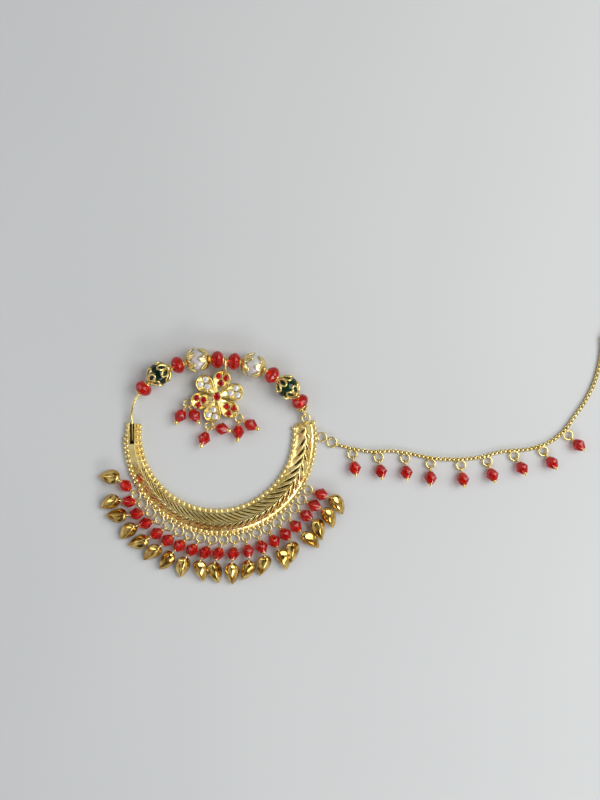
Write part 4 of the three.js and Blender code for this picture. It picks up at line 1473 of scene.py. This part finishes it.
def box_link():
    """A flat strip bent into a square, with its corners eased; it lies in the X-Y plane."""
    bm = bmesh.new()
    rings = []
    for height in (-BOX_STRIP / 2, BOX_STRIP / 2):
        for inset in (0, BOX_WALL):
            half_length, half_width = BOX_LENGTH / 2 - inset, BOX_WIDTH / 2 - inset
            ease = BOX_EASE - inset * 0.8
            corners = []
            for x, y in ((1, 1), (-1, 1), (-1, -1), (1, -1)):
                ends = [
                    (x * half_length, y * (half_width - ease)),
                    (x * (half_length - ease), y * half_width),
                ]
                corners += ends if x * y > 0 else ends[::-1]
            rings.append([bm.verts.new((*corner, height)) for corner in corners])
    for low, high in ((0, 1), (2, 3), (0, 2), (1, 3)):
        a, b = rings[low], rings[high]
        for i in range(len(a)):
            bm.faces.new((a[i - 1], a[i], b[i], b[i - 1]))
    bmesh.ops.recalc_face_normals(bm, faces=bm.faces)
    return mesh_of(bm, "box_link")


def chain_links():
    """Box links along the chain, a small loop at its start and a ring at its end."""
    bm = bmesh.new()
    shape = box_link()
    count = int(chain_length / BOX_PITCH)
    for i in range(count):
        place = aim(*along(chain_line, (i + 0.5) * chain_length / count))
        stamp(bm, shape, place @ Matrix.Rotation(math.pi / 2 * (i % 2), 4, "X"))
    first, ahead = along(chain_line, 0)
    ahead = Vector((ahead.x, ahead.y, 0))
    start = Vector((*(first - ahead * SMALL_LINK_RADIUS).xy, 1))
    stamp(bm, wire_loop("start_loop", SMALL_LINK_RADIUS, SMALL_LINK_WIRE), aim(start, ahead))
    end_ring = wire_loop("chain_end_ring", CHAIN_END_RADIUS, CHAIN_END_WIRE)
    stamp(bm, end_ring, Matrix.Translation(chain_stop) @ LYING)
    return bm


def chain_drop_places():
    beads, rings = [], []
    for share, degrees in CHAIN_DROPS:
        on_chain, _ = along(chain_line, share * chain_length)
        ring = Vector((on_chain.x, on_chain.y, CHAIN_RING_HEIGHT))
        short = hanging(ring, CHAIN_RING_RADIUS, degrees)
        reach = (short.translation - ring).xy.length
        ring += polar(CHAIN_DROP_REACH - reach, degrees)
        rings.append(Matrix.Translation(ring) @ LYING)
        beads.append(hanging(ring, CHAIN_RING_RADIUS, degrees))
    return beads, rings


chain_drops, drop_rings = chain_drop_places()
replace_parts(finished(chain_links(), "chain_links", "crescent", gold), "drop_chain")
chain_beads = stamped(bicone, chain_drops)
finished(chain_beads, "chain_beads", "crescent", crystal, flat=True)
chain_pins = stamped(pin_shape("chain_pin", CHAIN_END_BALL), chain_drops)
finished(chain_pins, "chain_pins", "crescent", gold)
chain_rings = stamped(wire_loop("chain_ring", CHAIN_RING_RADIUS, CHAIN_RING_WIRE), drop_rings)
finished(chain_rings, "chain_rings", "crescent", gold)


# Hair hook. A plain gold wire at the chain's far end, bent back to catch the hair, with its eye
# standing through the last ring. It lies outside the photo, so its form is a guess.

HOOK_EYE = 0.68
HOOK_WIRE = 0.35
HOOK_SHANK = 7
HOOK_BEND = 2
HOOK_BENDS = 4
HOOK_STEP = 50
HOOK_GAP = 0.05


def hair_hook():
    bm = bmesh.new()
    eye = chain_stop + chain_ahead * CHAIN_END_RADIUS
    drop = HOOK_WIRE + HOOK_GAP - eye.z
    shank_end = HOOK_EYE + HOOK_SHANK
    points = [Vector((HOOK_EYE, 0, 0)), Vector((HOOK_EYE + HOOK_SHANK * 0.4, 0, drop))]
    points.append(Vector((shank_end, 0, drop)))
    for i in range(1, HOOK_BENDS + 1):
        turn = polar(HOOK_BEND, 90 - HOOK_STEP * i)
        points.append(Vector((shank_end + turn.x, turn.y - HOOK_BEND, drop)))
    place = aim(eye, chain_ahead)
    tube(bm, [place @ point for point in through(points)], HOOK_WIRE, sides=12)
    stamp(bm, wire_loop("hook_eye", HOOK_EYE, HOOK_WIRE), place)
    return bm


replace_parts(finished(hair_hook(), "hook", "crescent", gold), "hair_hook")


# Room. A pale grey table under a large soft lamp and two weaker strips, seen from straight above. The
# sky round it is what the gold reflects.

FLOOR_SIZE = 9
CAMERA_PLACE = (0.02475, 0.03794, 0.3)
CAMERA_LENS = 43.24
FILM_HEIGHT = 36
CLIP_START = 0.01
LAMP_AIM = Vector((0.02, 0.03, 0))

# each lamp's place, width and depth, power and colour
LAMPS = {
    "key": ((0.5, 0.12, 0.6), (0.6, 0.6), 4.8, (1, 0.985, 0.96)),
    "fill": ((-0.45, 0.1, 0.4), (0.12, 0.5), 0.4, (0.96, 0.98, 1)),
    "front": ((0.3, -0.45, 0.35), (0.5, 0.1), 1.1, (1, 1, 1)),
}


def pale_floor():
    bm = bmesh.new()
    bmesh.ops.create_grid(bm, x_segments=1, y_segments=1, size=FLOOR_SIZE / 2)
    mesh = mesh_of(bm, "floor")
    material, tree, shader = new_material("pale_table")
    cloudy(tree, shader, 6, [(0.3, (0.62, 0.64, 0.65)), (0.7, (0.66, 0.68, 0.69))])
    shader.inputs["Roughness"].default_value = 0.55
    mesh.materials.append(material)
    shown("floor", mesh)


def lamp(name, place, size, power, colour):
    light = bpy.data.lights.new(name, "AREA")
    light.shape = "RECTANGLE"
    light.size, light.size_y = size
    light.energy = power
    light.color = colour
    made = shown(name, light)
    made.location = place
    made.rotation_euler = (LAMP_AIM - Vector(place)).to_track_quat("-Z", "Y").to_euler()


def grey(value):
    return (value, value, value)


def sky():
    """A room dark straight above and pale and uneven lower down, for the gold to reflect."""
    world = bpy.data.worlds.new("studio")
    bpy.context.scene.world = world
    world.use_nodes = True
    tree = world.node_tree
    direction = node(tree, "ShaderNodeTexCoord").outputs["Generated"]
    height = node(tree, "ShaderNodeSeparateXYZ", {"Vector": direction}).outputs["Z"]
    patches = node(
        tree, "ShaderNodeTexNoise", {"Vector": direction, "Scale": 2.2, "Detail": 1.5}
    )
    uneven = ramp(tree, patches.outputs["Fac"], [(0.42, grey(0.1)), (0.57, (1.5, 1.5, 1.52))])
    tones = [(0.0, grey(0.8)), (0.5, grey(0.7)), (0.8, grey(0.4)), (0.95, grey(0.05))]
    both = node(
        tree,
        "ShaderNodeMix",
        {0: 1.0, MIX_A: ramp(tree, height, tones), MIX_B: uneven},
        data_type="RGBA",
        blend_type="MULTIPLY",
    )
    background = tree.nodes["Background"]
    tree.links.new(both.outputs[MIX_RESULT], background.inputs["Color"])
    background.inputs["Strength"].default_value = 0.52


def camera():
    lens = bpy.data.cameras.new("camera")
    lens.sensor_fit = "VERTICAL"
    lens.sensor_height = FILM_HEIGHT
    lens.lens = CAMERA_LENS
    lens.clip_start = CLIP_START
    made = shown("camera", lens)
    made.location = CAMERA_PLACE
    bpy.context.scene.camera = made


pale_floor()
for name, values in LAMPS.items():
    lamp(name, *values)
sky()
camera()
bpy.context.scene.view_settings.view_transform = "Standard"
